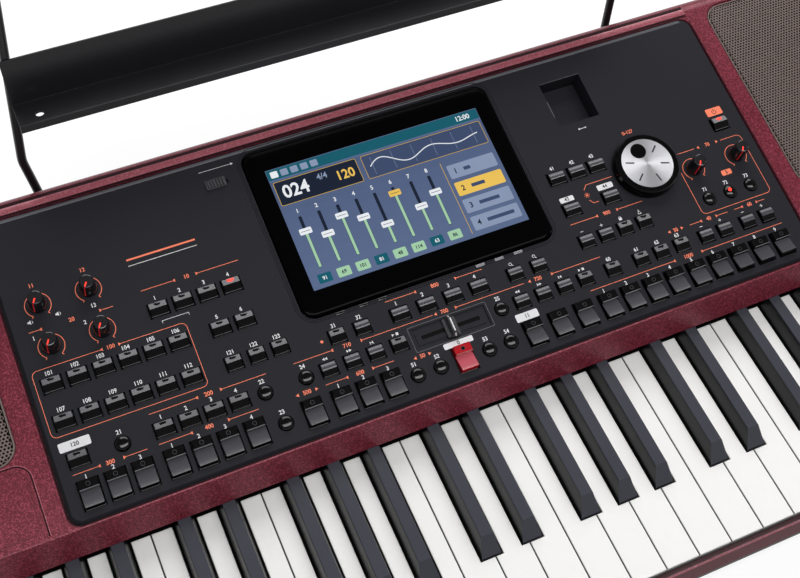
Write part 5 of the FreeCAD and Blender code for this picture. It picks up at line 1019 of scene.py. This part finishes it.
class Picture(Shape):
    """Flat forms in the screen's tints, each one layer above the last."""

    def __init__(self):
        super().__init__()
        self.high = PICTURE_HIGH
        self.tints = dict(TINTS)

    def above(self):
        self.high += LAYER
        return self.high

    def tint(self, name):
        return list(self.tints).index(name)

    def box(self, left, front, right, rear, tint, radius=0.8):
        self.flat(rounded_box(left, front, right, rear, radius, 3), self.above(), self.tint(tint))

    def framed_box(self, left, front, right, rear, tint):
        self.box(left, front, right, rear, tint)
        self.stroke(rounded_box(left, front, right, rear, 1.0, 3), 0.35, self.above(),
                    self.tint("gold"), closed=True)

    def line(self, points, wide, tint):
        self.stroke(points, wide, self.above(), self.tint(tint))

    def number(self, text, across, up, size, tint):
        self.figure(text, across, up, size, self.above(), self.tint(tint))


def draw_sky(picture):
    """The ground of the page, in bands that deepen towards the header."""
    left, front, right, rear = WINDOW
    ground = rounded_box(left, front, right, rear, WINDOW_CORNER, 8)
    picture.flat(ground, PICTURE_HIGH, picture.tint("sky"))
    for band in range(SKY_BANDS):
        low = front + (rear - front - HEADER_DEEP) * band / SKY_BANDS
        high = front + (rear - front - HEADER_DEEP) * (band + 1) / SKY_BANDS
        share = band / (SKY_BANDS - 1)
        picture.tints[band] = tuple(a * (1.0 - SKY_FADE * share) + b * SKY_FADE * share
                                    for a, b in zip(TINTS["sky"], TINTS["deep"]))
        picture.flat([(left, low), (right, low), (right, high), (left, high)],
                     PICTURE_HIGH + LAYER, picture.tint(band))
    picture.high = PICTURE_HIGH + 2 * LAYER


def draw_header(picture):
    """A bar with five small tabs and a clock."""
    left, _, right, rear = WINDOW
    picture.box(left + 0.3, rear - 8.0, right - 0.3, rear - 0.4, "teal", 0.4)
    for index in range(5):
        picture.box(left + 2.5 + 7.0 * index, rear - 6.6, left + 7.6 + 7.0 * index, rear - 1.9,
                    "pale" if index else "white", 0.6)
    picture.number("12:00", right - 12.0, rear - 4.3, 5.2, "white")


def draw_readouts(picture):
    """Three numbers in one box, and a fading wave over a grid in another."""
    left, _, right, rear = WINDOW
    low, high = rear - 27.5, rear - 10.0
    picture.framed_box(left + 2.0, low, left + 60.0, high, "dark")
    picture.number("024", left + 15.0, rear - 18.8, 13.0, "white")
    picture.number("4/4", left + 34.5, rear - 15.2, 6.0, "pale")
    picture.number("120", left + 50.0, rear - 18.8, 9.5, "amber")
    picture.framed_box(left + 64.0, low, right - 2.0, high, "deep")
    wave = [(left + 68.0 + 2.0 * s, rear - 19.0 + 5.4 * math.sin(s * 0.34) * math.exp(-s * 0.035))
            for s in range(41)]
    picture.line(wave, 0.7, "white")
    for index in range(6):
        u = left + 70.0 + 15.0 * index
        picture.line([(u, rear - 25.5), (u, rear - 12.0)], 0.2, "pale")


def draw_levels(picture):
    """Level bars with their handles, their numbers and their values."""
    left, front = WINDOW[:2]
    for index, level in enumerate(LEVELS):
        u = left + 10.0 + 13.2 * index
        high = front + 14.3 + 37.0 * level
        picture.box(u - 1.1, front + 14.0, u + 1.1, front + 52.0, "dark", 0.6)
        picture.box(u - 0.9, front + 14.3, u + 0.9, high, "green", 0.5)
        picture.box(u - 4.2, high - 2.2, u + 4.2, high + 2.2,
                    "amber" if index == CHOSEN_LEVEL else "white")
        picture.line([(u - 3.2, high), (u + 3.2, high)], 0.35, "dark")
        picture.number(str(index + 1), u, front + 56.0, 4.2, "white")
        ground, ink = ("green", "dark") if index % 3 else ("teal", "white")
        picture.box(u - 4.6, front + 3.0, u + 4.6, front + 9.6, ground)
        picture.number(str(int(level * 127)), u, front + 6.2, 3.6, ink)


def draw_list(picture):
    """Four numbered rows beside the levels, one of them chosen."""
    _, front, right, _ = WINDOW
    for index in range(4):
        low = front + 4.0 + 13.4 * index
        picture.box(right - 38.0, low, right - 3.0, low + 10.4,
                    "amber" if index == CHOSEN_ROW else "pale", 1.0)
        picture.number(str(4 - index), right - 33.0, low + 5.1, 5.6, "dark")
        picture.box(right - 27.0, low + 3.9, right - 27.0 + 5.0 * (4 - index), low + 6.5, "deep",
                    0.5)
    picture.line([(right - 41.0, front + 3.0), (right - 41.0, front + 58.0)], 0.4, "gold")


def make_screen():
    """A made-up mixer page: a header, readouts, level bars and a list."""
    picture = Picture()
    for draw in (draw_sky, draw_header, draw_readouts, draw_levels, draw_list):
        draw(picture)
    picture.piece("screen_picture", "display", ("screen_glass",), "screen_glass",
                  ("touch_screen",), sheet=True, tints=list(picture.tints.values()))


# Speaker grilles

GRILLE = (277.0, 55.0, 499.0, 212.0)
GRILLE_TOP, GRILLE_LOW = -1.4, -2.6
GRILLE_CORNER = 13.0
GRILLE_BORDER, HOLE_CLEAR = 0.8, 0.9
HOLE_PITCH, HOLE_RADIUS = 2.4, 0.86


def make_grille(side):
    """A plate of six-sided cells, each with its hole, out to a narrow edge."""
    left, right = sorted((GRILLE[0] * side, GRILLE[2] * side))
    front, rear = GRILLE[1], GRILLE[3]
    shape = Shape()
    turns = [math.radians(30.0 + 60.0 * k) for k in range(6)]
    reach = HOLE_PITCH / math.sqrt(3.0)
    cell = [(math.cos(t) * reach, math.sin(t) * reach) for t in turns]
    hole = [(math.cos(t) * HOLE_RADIUS, math.sin(t) * HOLE_RADIUS) for t in turns]
    faces = []
    for k in range(6):
        after = (k + 1) % 6
        faces.append((k, after, 6 + after, 6 + k))
        faces.append((6 + k, 6 + after, 12 + after, 12 + k))
    row_step = HOLE_PITCH * math.sqrt(3.0) / 2.0
    rows = int((rear - front - 2 * GRILLE_BORDER) / row_step)
    columns = int((right - left - 2 * GRILLE_BORDER) / HOLE_PITCH)
    cut = GRILLE_CORNER - GRILLE_BORDER
    last = right - GRILLE_BORDER - HOLE_CLEAR
    for row in range(rows):
        v = front + GRILLE_BORDER + row_step * (row + 0.6)
        for column in range(columns):
            u = left + GRILLE_BORDER + HOLE_PITCH * (column + 0.35 + 0.5 * (row % 2))
            beside = max(left + GRILLE_CORNER - u, u - right + GRILLE_CORNER, 0.0)
            beyond = max(front + GRILLE_CORNER - v, v - rear + GRILLE_CORNER, 0.0)
            if math.hypot(beside, beyond) > cut - HOLE_CLEAR or u > last:
                continue
            top = GRILLE_TOP - 0.04
            points = [(u + x, v + y, top) for x, y in cell]
            points += [(u + x, v + y, top) for x, y in hole]
            points += [(u + x, v + y, GRILLE_LOW + 0.25) for x, y in hole]
            shape.add(points, faces, 0)
    box = (left, front, right, rear)
    lines = [inset_box(box, 0.3, GRILLE_CORNER - 0.3), inset_box(box, 0.3, GRILLE_CORNER - 0.3),
             inset_box(box, 0.5, GRILLE_CORNER - 0.5),
             inset_box(box, GRILLE_BORDER + 0.6, cut - 0.6)]
    shape.rim(lines, [GRILLE_LOW, GRILLE_TOP - 0.3, GRILLE_TOP, GRILLE_TOP - 0.02],
              ends=(False, False))
    name = "left" if side < 0 else "right"
    shape.piece(name + "_grille_plate", "case", ("grille_metal",), "grille_metal",
                ("speaker_grilles",), sheet=True)
    cloth = Shape()
    cloth.flat(inset_box(box, 1.0, GRILLE_CORNER - 1.0), GRILLE_LOW + 0.1)
    cloth.piece(name + "_grille_cloth", "case", ("grille_cloth",), "speaker_black", sheet=True)


# Printing on the panel: plain lines, marks and numbers

INK_HIGH = 0.06
WHITE, ORANGE, DARK = range(3)
LINE_WIDE = 0.36
POINT_SIZE = 1.3
FIGURE_SIZE = 3.8
SIGN_WIDE = 0.35
KNOB_ARC_RADIUS, KNOB_ARC_WIDE, KNOB_ARC_HOOK = 7.95, 0.42, 1.17
STYLE_FRAME, LEVEL_FRAME = (-256.5, 61.0, -160.0, 104.7), (196.0, 60.0, 252.0, 108.0)
FRAME_CORNER = 3.5
OVER_INK = INK_HIGH + 0.03
# An orange heading: a line, its group number between two points, a line
HEADINGS = [
    ("200", -162.0, 56.0, (-199.6, -169.4), (-154.0, -125.0)),
    ("400", -168.5, 36.3, (-199.8, -179.5), (-156.0, -137.0)),
    ("300", -229.5, 36.2, (-252.0, -236.0), (-221.0, -207.0)),
    ("500", -105.5, 36.0, None, None),
    ("600", -70.0, 36.3, (-93.0, -78.6), (-61.0, -47.0)),
    ("710", -71.0, 56.0, (-107.0, -81.0), (-61.0, -11.5)),
    ("700", -3.2, 56.0, None, (5.0, 54.7)),
    ("720", 65.0, 56.0, None, (75.5, 112.0)),
    ("800", -2.0, 74.7, (-37.0, -16.0), (13.0, 32.0)),
    ("50", -28.5, 33.0, None, None),
    ("10", -149.5, 133.4, (-179.0, -157.5), (-142.7, -115.0)),
    ("20", -224.0, 129.5, (-250.5, -243.0), (-206.0, -198.0)),
    ("900", 131.2, 83.8, (103.0, 123.6), (139.4, 159.0)),
    ("30", 171.5, 56.3, None, None),
    ("40", 198.2, 56.3, (183.0, 192.0), (204.5, 213.5)),
    ("60", 231.5, 56.3, (219.0, 225.5), (237.5, 244.0)),
    ("1000", 171.0, 36.0, (95.0, 160.0), (182.0, 247.0)),
]
# First number printed behind each button of a row, and how far behind it
NUMBERED = {
    "mode": (1, 7.9), "global": (5, 7.9), "style_upper": (101, 7.7), "style_lower": (107, 7.7),
    "bass": (121, 7.4), "pad": (1, 7.6), "intro": (1, 10.7), "variation": (1, 10.7),
    "ending": (1, 10.7), "library": (1, 10.7), "record": (31, 7.4), "keyboard_set": (1, 7.6),
    "lyrics": (41, 7.9), "scan": (61, 7.5), "harmony": (71, 7.4), "synchro": (51, 7.3),
    "fade": (53, 7.3), "to_keys": (21, 7.4), "pad_stop": (22, 7.4), "auto_fill": (23, 7.3),
    "first_select": (24, 7.4), "second_select": (25, 7.4), "split": (60, 7.5),
}
FILLED_BOXES = [
    (-255.0, 51.0, -236.0, 57.0, WHITE, "120"), (-13.5, 31.4, 7.0, 35.2, WHITE, "0"),
    (39.0, 32.0, 55.0, 37.5, WHITE, "11"), (133.0, 100.4, 145.0, 104.6, WHITE, "44"),
    (103.8, 100.2, 114.3, 104.0, WHITE, "43"), (236.5, 127.2, 249.0, 133.3, ORANGE, ""),
    (224.0, 82.0, 232.0, 86.0, ORANGE, "5"),
]
LOOSE_FIGURES = [
    ("11", -240.5, 158.8, ORANGE), ("12", -208.5, 158.8, ORANGE), ("0-127", 173.5, 135.2, ORANGE),
    ("13", -209.0, 133.9, WHITE), ("1", -248.7, 125.0, WHITE), ("2", -217.0, 125.0, WHITE),
]


def triangle(shape, across, up, size, heading, finish):
    turns = [math.radians(heading + step) for step in (0.0, 120.0, 240.0)]
    shape.flat([(across + size * math.cos(t), up + size * math.sin(t)) for t in turns],
               INK_HIGH, finish)


def bar(shape, left, front, right, rear, finish):
    shape.flat([(left, front), (right, front), (right, rear), (left, rear)], INK_HIGH, finish)


def print_heading(shape, text, across, up, left, right):
    """An orange number between two points."""
    shape.figure(text, across, up, FIGURE_SIZE, INK_HIGH, ORANGE)
    triangle(shape, left, up, POINT_SIZE, 180.0, ORANGE)
    triangle(shape, right, up, POINT_SIZE, 0.0, ORANGE)


def print_headings(shape):
    for text, across, up, before, after in HEADINGS:
        reach = 1.3 * len(text) + 2.2
        print_heading(shape, text, across, up, before[1] if before else across - reach,
                      after[0] if after else across + reach)
        for span in (before, after):
            if span:
                shape.stroke([(span[0], up), (span[1], up)], LINE_WIDE, INK_HIGH, ORANGE)


def print_frames(shape):
    """The two large round-cornered frames, open at their headings."""
    style = rounded_box(*STYLE_FRAME, FRAME_CORNER, 5)
    top = STYLE_FRAME[3]
    ring = [(-214.0, top), *style[6:], *style[:6], (-201.0, top)]
    shape.stroke(ring, LINE_WIDE, INK_HIGH, ORANGE)
    print_heading(shape, "100", -207.5, top, -213.0, -202.0)
    level = rounded_box(*LEVEL_FRAME, FRAME_CORNER, 5)
    left, _, _, top = LEVEL_FRAME
    shape.stroke([(214.0, top), (200.0, top)], LINE_WIDE, INK_HIGH, ORANGE)
    ring = [(left, 94.0), *level[12:], *level[:6], (236.0, top)]
    shape.stroke(ring, LINE_WIDE, INK_HIGH, ORANGE)
    print_heading(shape, "70", 225.0, top, 217.5, 232.5)


def print_menu_line(shape):
    """The bent line of the menu buttons, with a rayed dot in its gap."""
    shape.stroke([(147.0, 107.7), (126.5, 107.7), (123.7, 104.5)], LINE_WIDE, INK_HIGH, ORANGE)
    shape.stroke([(123.9, 96.5), (126.0, 93.6), (130.0, 93.6)], LINE_WIDE, INK_HIGH, ORANGE)
    u, v = 124.0, 100.3
    for step in range(8):
        turn = math.radians(45.0 * step)
        line = [(u + r * math.cos(turn), v + r * math.sin(turn)) for r in (1.1, 2.0)]
        shape.stroke(line, 0.3, INK_HIGH, ORANGE)
    shape.flat(circle(u, v, 0.75, 14), INK_HIGH, ORANGE)


def print_knob_arcs(shape):
    """An arc round each knob, with a short hook at each end."""
    for across, up in KNOBS.values():
        middle = Vector((across, up))
        ring = arc(across, up, KNOB_ARC_RADIUS, -54.0, 234.0, 36)
        start, end = (tuple(middle + (Vector(tip) - middle) * KNOB_ARC_HOOK)
                      for tip in (ring[0], ring[-1]))
        shape.stroke([start, *ring, end], KNOB_ARC_WIDE, INK_HIGH, ORANGE)


def print_numbers(shape):
    """The numbers behind the buttons, in the filled boxes and by the knobs and the dial."""
    for row, (first, behind) in NUMBERED.items():
        for index, (u, v) in enumerate(button_places(row)):
            shape.figure(str(first + index), u, v + behind, FIGURE_SIZE, INK_HIGH, WHITE)
    for left, front, right, rear, finish, text in FILLED_BOXES:
        shape.flat(rounded_box(left, front, right, rear, 0.9, 4), INK_HIGH, finish)
        if text:
            shape.figure(text, (left + right) / 2, (front + rear) / 2, FIGURE_SIZE, OVER_INK, DARK)
    for text, across, up, finish in LOOSE_FIGURES:
        shape.figure(text, across, up, FIGURE_SIZE, INK_HIGH, finish)
    bar(shape, -181.0, 155.4, -136.0, 156.6, ORANGE)
    bar(shape, -181.0, 151.6, -136.0, 152.0, WHITE)


def print_tempo_signs(shape):
    """Minus and plus behind three pairs of buttons, then a padlock and a metronome."""
    for row in ("tempo", "octave", "transpose"):
        (minus, up), (plus, _) = button_places(row)[:2]
        sign = up + 7.6
        bar(shape, minus - 1.1, sign - 0.2, minus + 1.1, sign + 0.2, WHITE)
        bar(shape, plus - 1.1, sign - 0.2, plus + 1.1, sign + 0.2, WHITE)
        bar(shape, plus - 0.2, sign - 1.1, plus + 0.2, sign + 1.1, WHITE)
    lock, swing = (place[0] for place in button_places("tempo")[2:])
    bar(shape, lock - 1.1, 75.6, lock + 1.1, 77.4, WHITE)
    shape.stroke(arc(lock, 77.4, 0.8, 0.0, 180.0, 8), SIGN_WIDE, INK_HIGH, WHITE)
    shape.stroke([(swing - 1.1, 75.6), (swing, 78.6), (swing + 1.1, 75.6)], SIGN_WIDE, INK_HIGH,
                 WHITE, closed=True)


def print_player_signs(shape):
    """Back, ahead, home and play signs of both players, and the two search signs."""
    for row in ("first_player", "second_player"):
        (back, up), (ahead, _), (home, _), (play, _) = button_places(row)
        sign = up + 7.3
        for offset in (-0.8, 0.9):
            triangle(shape, back + offset, sign, 1.1, 180.0, WHITE)
            triangle(shape, ahead + offset, sign, 1.1, 0.0, WHITE)
        triangle(shape, home + 0.5, sign, 1.1, 180.0, WHITE)
        bar(shape, home - 1.3, sign - 1.0, home - 0.85, sign + 1.0, WHITE)
        triangle(shape, play - 1.5, sign, 1.15, 0.0, WHITE)
        bar(shape, play + 0.6, sign - 0.85, play + 2.3, sign + 0.85, WHITE)
    for across, up in button_places("search"):
        shape.stroke(circle(across - 0.3, up + 7.6, 0.95, 16), SIGN_WIDE, INK_HIGH, WHITE,
                     closed=True)
        shape.stroke([(across + 0.4, up + 6.9), (across + 1.3, up + 6.0)], 0.45, INK_HIGH, WHITE)


def print_edge_signs(shape):
    """Speaker and power signs, the arrows of lock and well, a bracket and the record dot."""
    for across in (-247.8, -230.6):
        bar(shape, across - 1.5, 135.2, across - 0.7, 136.4, WHITE)
        shape.flat([(across - 0.7, 135.2), (across + 0.5, 134.4), (across + 0.5, 137.2),
                    (across - 0.7, 136.4)], INK_HIGH, WHITE)
        shape.stroke(arc(across + 0.4, 135.8, 1.2, -50.0, 50.0, 8), 0.3, INK_HIGH, WHITE)
    shape.stroke(arc(242.7, 130.1, 1.6, 120.0, 420.0, 20), 0.45, OVER_INK, DARK)
    shape.flat([(242.45, 130.2), (242.95, 130.2), (242.95, 132.4), (242.45, 132.4)], OVER_INK,
               DARK)
    u, v = LOCK_MIDDLE[0], 199.8
    shape.stroke([(u - 8.0, v), (u + 14.0, v)], 0.3, INK_HIGH, WHITE)
    triangle(shape, u + 14.5, v, 1.1, 0.0, WHITE)
    u, v = 144.0, 148.6
    shape.stroke([(u - 2.2, v), (u + 2.2, v)], SIGN_WIDE, INK_HIGH, WHITE)
    triangle(shape, u + 2.4, v, 0.8, 0.0, WHITE)
    shape.flat(circle(u - 2.4, v, 0.7, 14), INK_HIGH, WHITE)
    shape.stroke([(-173.0, 108.6), (-173.0, 110.2), (-156.0, 110.2), (-156.0, 108.6)], 0.3,
                 INK_HIGH, WHITE)
    shape.flat(circle(-85.0, 63.5, 1.0, 18), INK_HIGH, ORANGE)


PANEL_REAR, PANEL_HALF, PANEL_CORNER_UP = 208.6, 254.0, 14.5
SEAM_REACH, SEAM_WIDE, SEAM_HIGH = 8.35, 1.0, -0.77
RIM_REACH, RIM_WIDE, RIM_HIGH = 6.4, 2.0, 0.04
WELL = (129.0, 154.6, 160.6, 189.6)
TRIM_HIGH = 0.05
# Sections across the panel's rear edge: (behind the edge, height)
REAR_BEVEL = ((-3.2, 0.02), (-2.9, 0.12), (-1.75, 0.1), (-0.15, -1.45), (-0.15, -1.75))
REAR_BEAD = ((0.5, -0.79), (2.4, -0.76), (2.6, -0.4), (3.0, -0.3), (6.8, -0.62), (7.2, -0.96),
             (8.6, -1.36), (10.0, -1.96))
BEAD_FINISHES = [1, 0, 0, 0, 0, 1, 1, 1]
BEAD_BEYOND = 8.0


def make_panel_trim():
    """Painted light round the panel: a painted highlight on the bevel at its rear and on the edges
    of its wells, and painted shade as dark lines in the seam round it and on its left rim.
    """
    shape = Shape()
    points = [(u, PANEL_REAR + v, w) for u in (-PANEL_HALF, PANEL_HALF) for v, w in REAR_BEVEL]
    count = len(REAR_BEVEL)
    shape.add(points, [(i, count + i, count + i + 1, i + 1) for i in range(count - 1)], 0, False)
    left, front, right, rear = WELL
    shape.stroke([(left - 0.2, front + 8.0), (left - 0.2, front + 21.0)], 0.6, TRIM_HIGH)
    shape.stroke([(left, rear + 0.2), (right, rear + 0.2)], 0.3, TRIM_HIGH)
    shape.stroke(box_about(FADER_MIDDLE, 27.6, 8.6, 0.8), 0.4, TRIM_HIGH, closed=True)
    # Painted shade along the seam round the panel, and on its left rim alone.
    corner, low, rear_end = PANEL_HALF, PANEL_CORNER_UP, PANEL_REAR - 3.0
    seam = ([(-corner - SEAM_REACH, rear_end)] + arc(-corner, low, SEAM_REACH, 180.0, 270.0, 8)
            + arc(corner, low, SEAM_REACH, 270.0, 360.0, 8) + [(corner + SEAM_REACH, rear_end)])
    shape.stroke(seam, SEAM_WIDE, SEAM_HIGH, 1)
    rim = ([(-corner - RIM_REACH, rear_end - 5.0)]
           + arc(-corner, low, RIM_REACH, 180.0, 250.0, 8))
    shape.stroke(rim, RIM_WIDE, RIM_HIGH, 2)
    shape.piece("panel_painted_light", "case", ("panel_painted_light", "burgundy_painted_shade", "panel_rim_painted_shade"), "panel_black",
                sheet=True)


def make_rear_bead():
    """The low bead along the rear of the centre cover, with a painted highlight on it, between two
    dark strips of painted shade.
    """
    shape = Shape()
    half = PANEL_HALF + BEAD_BEYOND
    shape.loft([[(u, PANEL_REAR + v, w) for v, w in REAR_BEAD] for u in (-half, half)],
               by_edge=BEAD_FINISHES, smooth=False)
    shape.piece("rear_bead", "case", ("burgundy_painted_highlight", "burgundy_painted_shade"), "burgundy_paint")


GROOVE_SIDE, GROOVE_UP, GROOVE_BEND = -274.2, 53.1, 9.3
GROOVE_FRONT, GROOVE_END, GROOVE_HIGH = 7.0, -509.0, -0.76
# The groove's painted shade and the painted highlight on its edge: (outward, width, finish)
GROOVE_LINES = ((0.0, 0.85, 0), (0.75, 0.5, 1))


def make_bass_groove():
    """The groove on the bass cover, before the grille and beside the panel, drawn flat as a line
    of painted shade with a painted highlight along its edge.
    """
    middle = (GROOVE_SIDE - GROOVE_BEND, GROOVE_UP - GROOVE_BEND)
    shape = Shape()
    for outward, wide, finish in GROOVE_LINES:
        reach = GROOVE_BEND + outward
        line = ([(middle[0] + reach, GROOVE_FRONT)] + arc(*middle, reach, 0.0, 90.0, 10)
                + [(GROOVE_END, middle[1] + reach)])
        shape.stroke(line, wide, GROOVE_HIGH, finish)
    shape.piece("bass_cover_groove", "case", ("burgundy_painted_shade", "burgundy_painted_highlight"),
                "burgundy_paint", sheet=True)


KEY_LEFT, KEY_PITCH, OCTAVES = -385.5, 23.5, 5
SHARP_PLACES = (21.2, 49.3, 90.6, 117.5, 144.4)
SHARP_ROOM = 7.3
FELT_SECTION = ((-77.2, 56.5), (-77.4, 56.9), (-77.0, 57.3), (-66.0, 58.2), (-66.0, 56.5))


def make_key_felt():
    """The black felt over the naturals' ends, in lengths between the sharps, under the lip."""
    octave = KEY_PITCH * 7
    sharps = [KEY_LEFT + octave * number + place for number in range(OCTAVES)
              for place in SHARP_PLACES]
    starts = [KEY_LEFT] + [place + SHARP_ROOM for place in sharps]
    ends = [place - SHARP_ROOM for place in sharps] + [KEY_LEFT + octave * OCTAVES + KEY_PITCH]
    shape = Shape()
    for start, end in zip(starts, ends):
        shape.loft([[(x, y, z) for y, z in FELT_SECTION] for x in (start, end)], smooth=False)
    shape.piece("key_felt", "case", ("felt_black",), "case_black", place=CASE_PLACE)


def make_print():
    """All the printing, gathered into one flat piece."""
    shape = Shape()
    for layer in (print_headings, print_frames, print_menu_line, print_knob_arcs, print_numbers,
                  print_tempo_signs, print_player_signs, print_edge_signs):
        layer(shape)
    shape.piece("panel_print", "case", ("print_white", "print_orange", "print_dark"),
                "panel_black", sheet=True)


# Studio

CAMERA_PLACE = (-0.230184, -0.358866, 0.758750)
CAMERA_TURN = (32.166466, -3.682764, -23.829876)
CAMERA_LENS = 54.257
SENSOR_WIDE = 36.0
SKY_OVERHEAD, SKY_RISE = 0.12, 0.5
FLOOR_TONE, FLOOR_GLOW = 0.25, 0.8
FLOOR_RADIUS, FLOOR_STEPS = 14.0, 48
PLAIN_WHITE = (1.0, 1.0, 1.0, 1.0)


def make_camera():
    """The camera at the photograph's viewing angle."""
    data = bpy.data.cameras.new("photo_camera")
    data.sensor_width = SENSOR_WIDE
    data.lens = CAMERA_LENS
    data.clip_start = 0.01
    camera = bpy.data.objects.new("photo_camera", data)
    camera.location = CAMERA_PLACE
    camera.rotation_euler = [math.radians(angle) for angle in CAMERA_TURN]
    bpy.context.scene.collection.objects.link(camera)
    bpy.context.scene.camera = camera


def make_softbox(name, middle, wide, deep, turn, level):
    """An area lamp whose face has the given brightness."""
    data = bpy.data.lights.new(name, "AREA")
    data.shape = "RECTANGLE"
    data.size, data.size_y = wide, deep
    data.energy = level * math.pi * wide * deep
    lamp = bpy.data.objects.new(name, data)
    lamp.location = middle
    lamp.rotation_euler = [math.radians(angle) for angle in turn]
    bpy.context.scene.collection.objects.link(lamp)


def make_sky():
    """Pale all round and dimmer overhead."""
    world = bpy.data.worlds.new("studio")
    bpy.context.scene.world = world
    world.use_nodes = True
    wiring = Wiring(world.node_tree)
    way = wiring.node("ShaderNodeTexCoord").outputs["Generated"]
    parts = wiring.node("ShaderNodeSeparateXYZ")
    wiring.feed(parts.inputs[0], way)
    low = wiring.sum("SUBTRACT", 1.0, wiring.sum("ABSOLUTE", parts.outputs[2]))
    level = wiring.sum("MULTIPLY_ADD", wiring.sum("POWER", low, 2.0), SKY_RISE,
                       SKY_OVERHEAD)
    wiring.feed(world.node_tree.nodes["Background"].inputs["Strength"], level)
    world.node_tree.nodes["Background"].inputs["Color"].default_value = PLAIN_WHITE


def make_floor():
    """A plain pale floor that keeps the shadow."""
    wiring, shader = bare_finish("pale_floor", {"shine": 0.0, "rough": 1.0})
    shader.inputs["Base Color"].default_value = (FLOOR_TONE, FLOOR_TONE, FLOOR_TONE, 1.0)
    rays = wiring.node("ShaderNodeLightPath").outputs
    seen = wiring.sum("MAXIMUM", rays["Is Camera Ray"],
                      wiring.sum("MAXIMUM", rays["Is Glossy Ray"], rays["Is Transmission Ray"]))
    shader.inputs["Emission Color"].default_value = PLAIN_WHITE
    wiring.feed(shader.inputs["Emission Strength"], wiring.sum("MULTIPLY", seen, FLOOR_GLOW))
    mesh = bpy.data.meshes.new("floor")
    edge = circle(0.0, 0.0, FLOOR_RADIUS, FLOOR_STEPS)
    mesh.from_pydata([(x, y, 0.0) for x, y in edge], [], [tuple(range(FLOOR_STEPS))])
    mesh.materials.append(FINISH["pale_floor"])
    floor = bpy.data.objects.new("floor", mesh)
    bpy.context.scene.collection.objects.link(floor)


make_finishes()
make_camera()
make_sky()
make_softbox("rear_softbox", (0.5, 1.1, 1.18), wide=1.6, deep=0.95,
             turn=(-16.2, 0.0, 0.0), level=4.0)
make_softbox("front_softbox", (0.15, -0.46, 1.55), wide=1.8, deep=0.5,
             turn=(15.0, 0.0, 0.0), level=6.1)
make_floor()
dress_nodes()
dress_slip()
soften_edges()
make_caps()
make_assignable_switches()
make_knobs()
make_dial()
make_fader()
make_display_lock()
make_bezel()
make_screen()
make_grille(-1)
make_grille(1)
make_print()
make_panel_trim()
make_rear_bead()
make_bass_groove()
make_key_felt()
bpy.context.scene.view_settings.view_transform = "Standard"
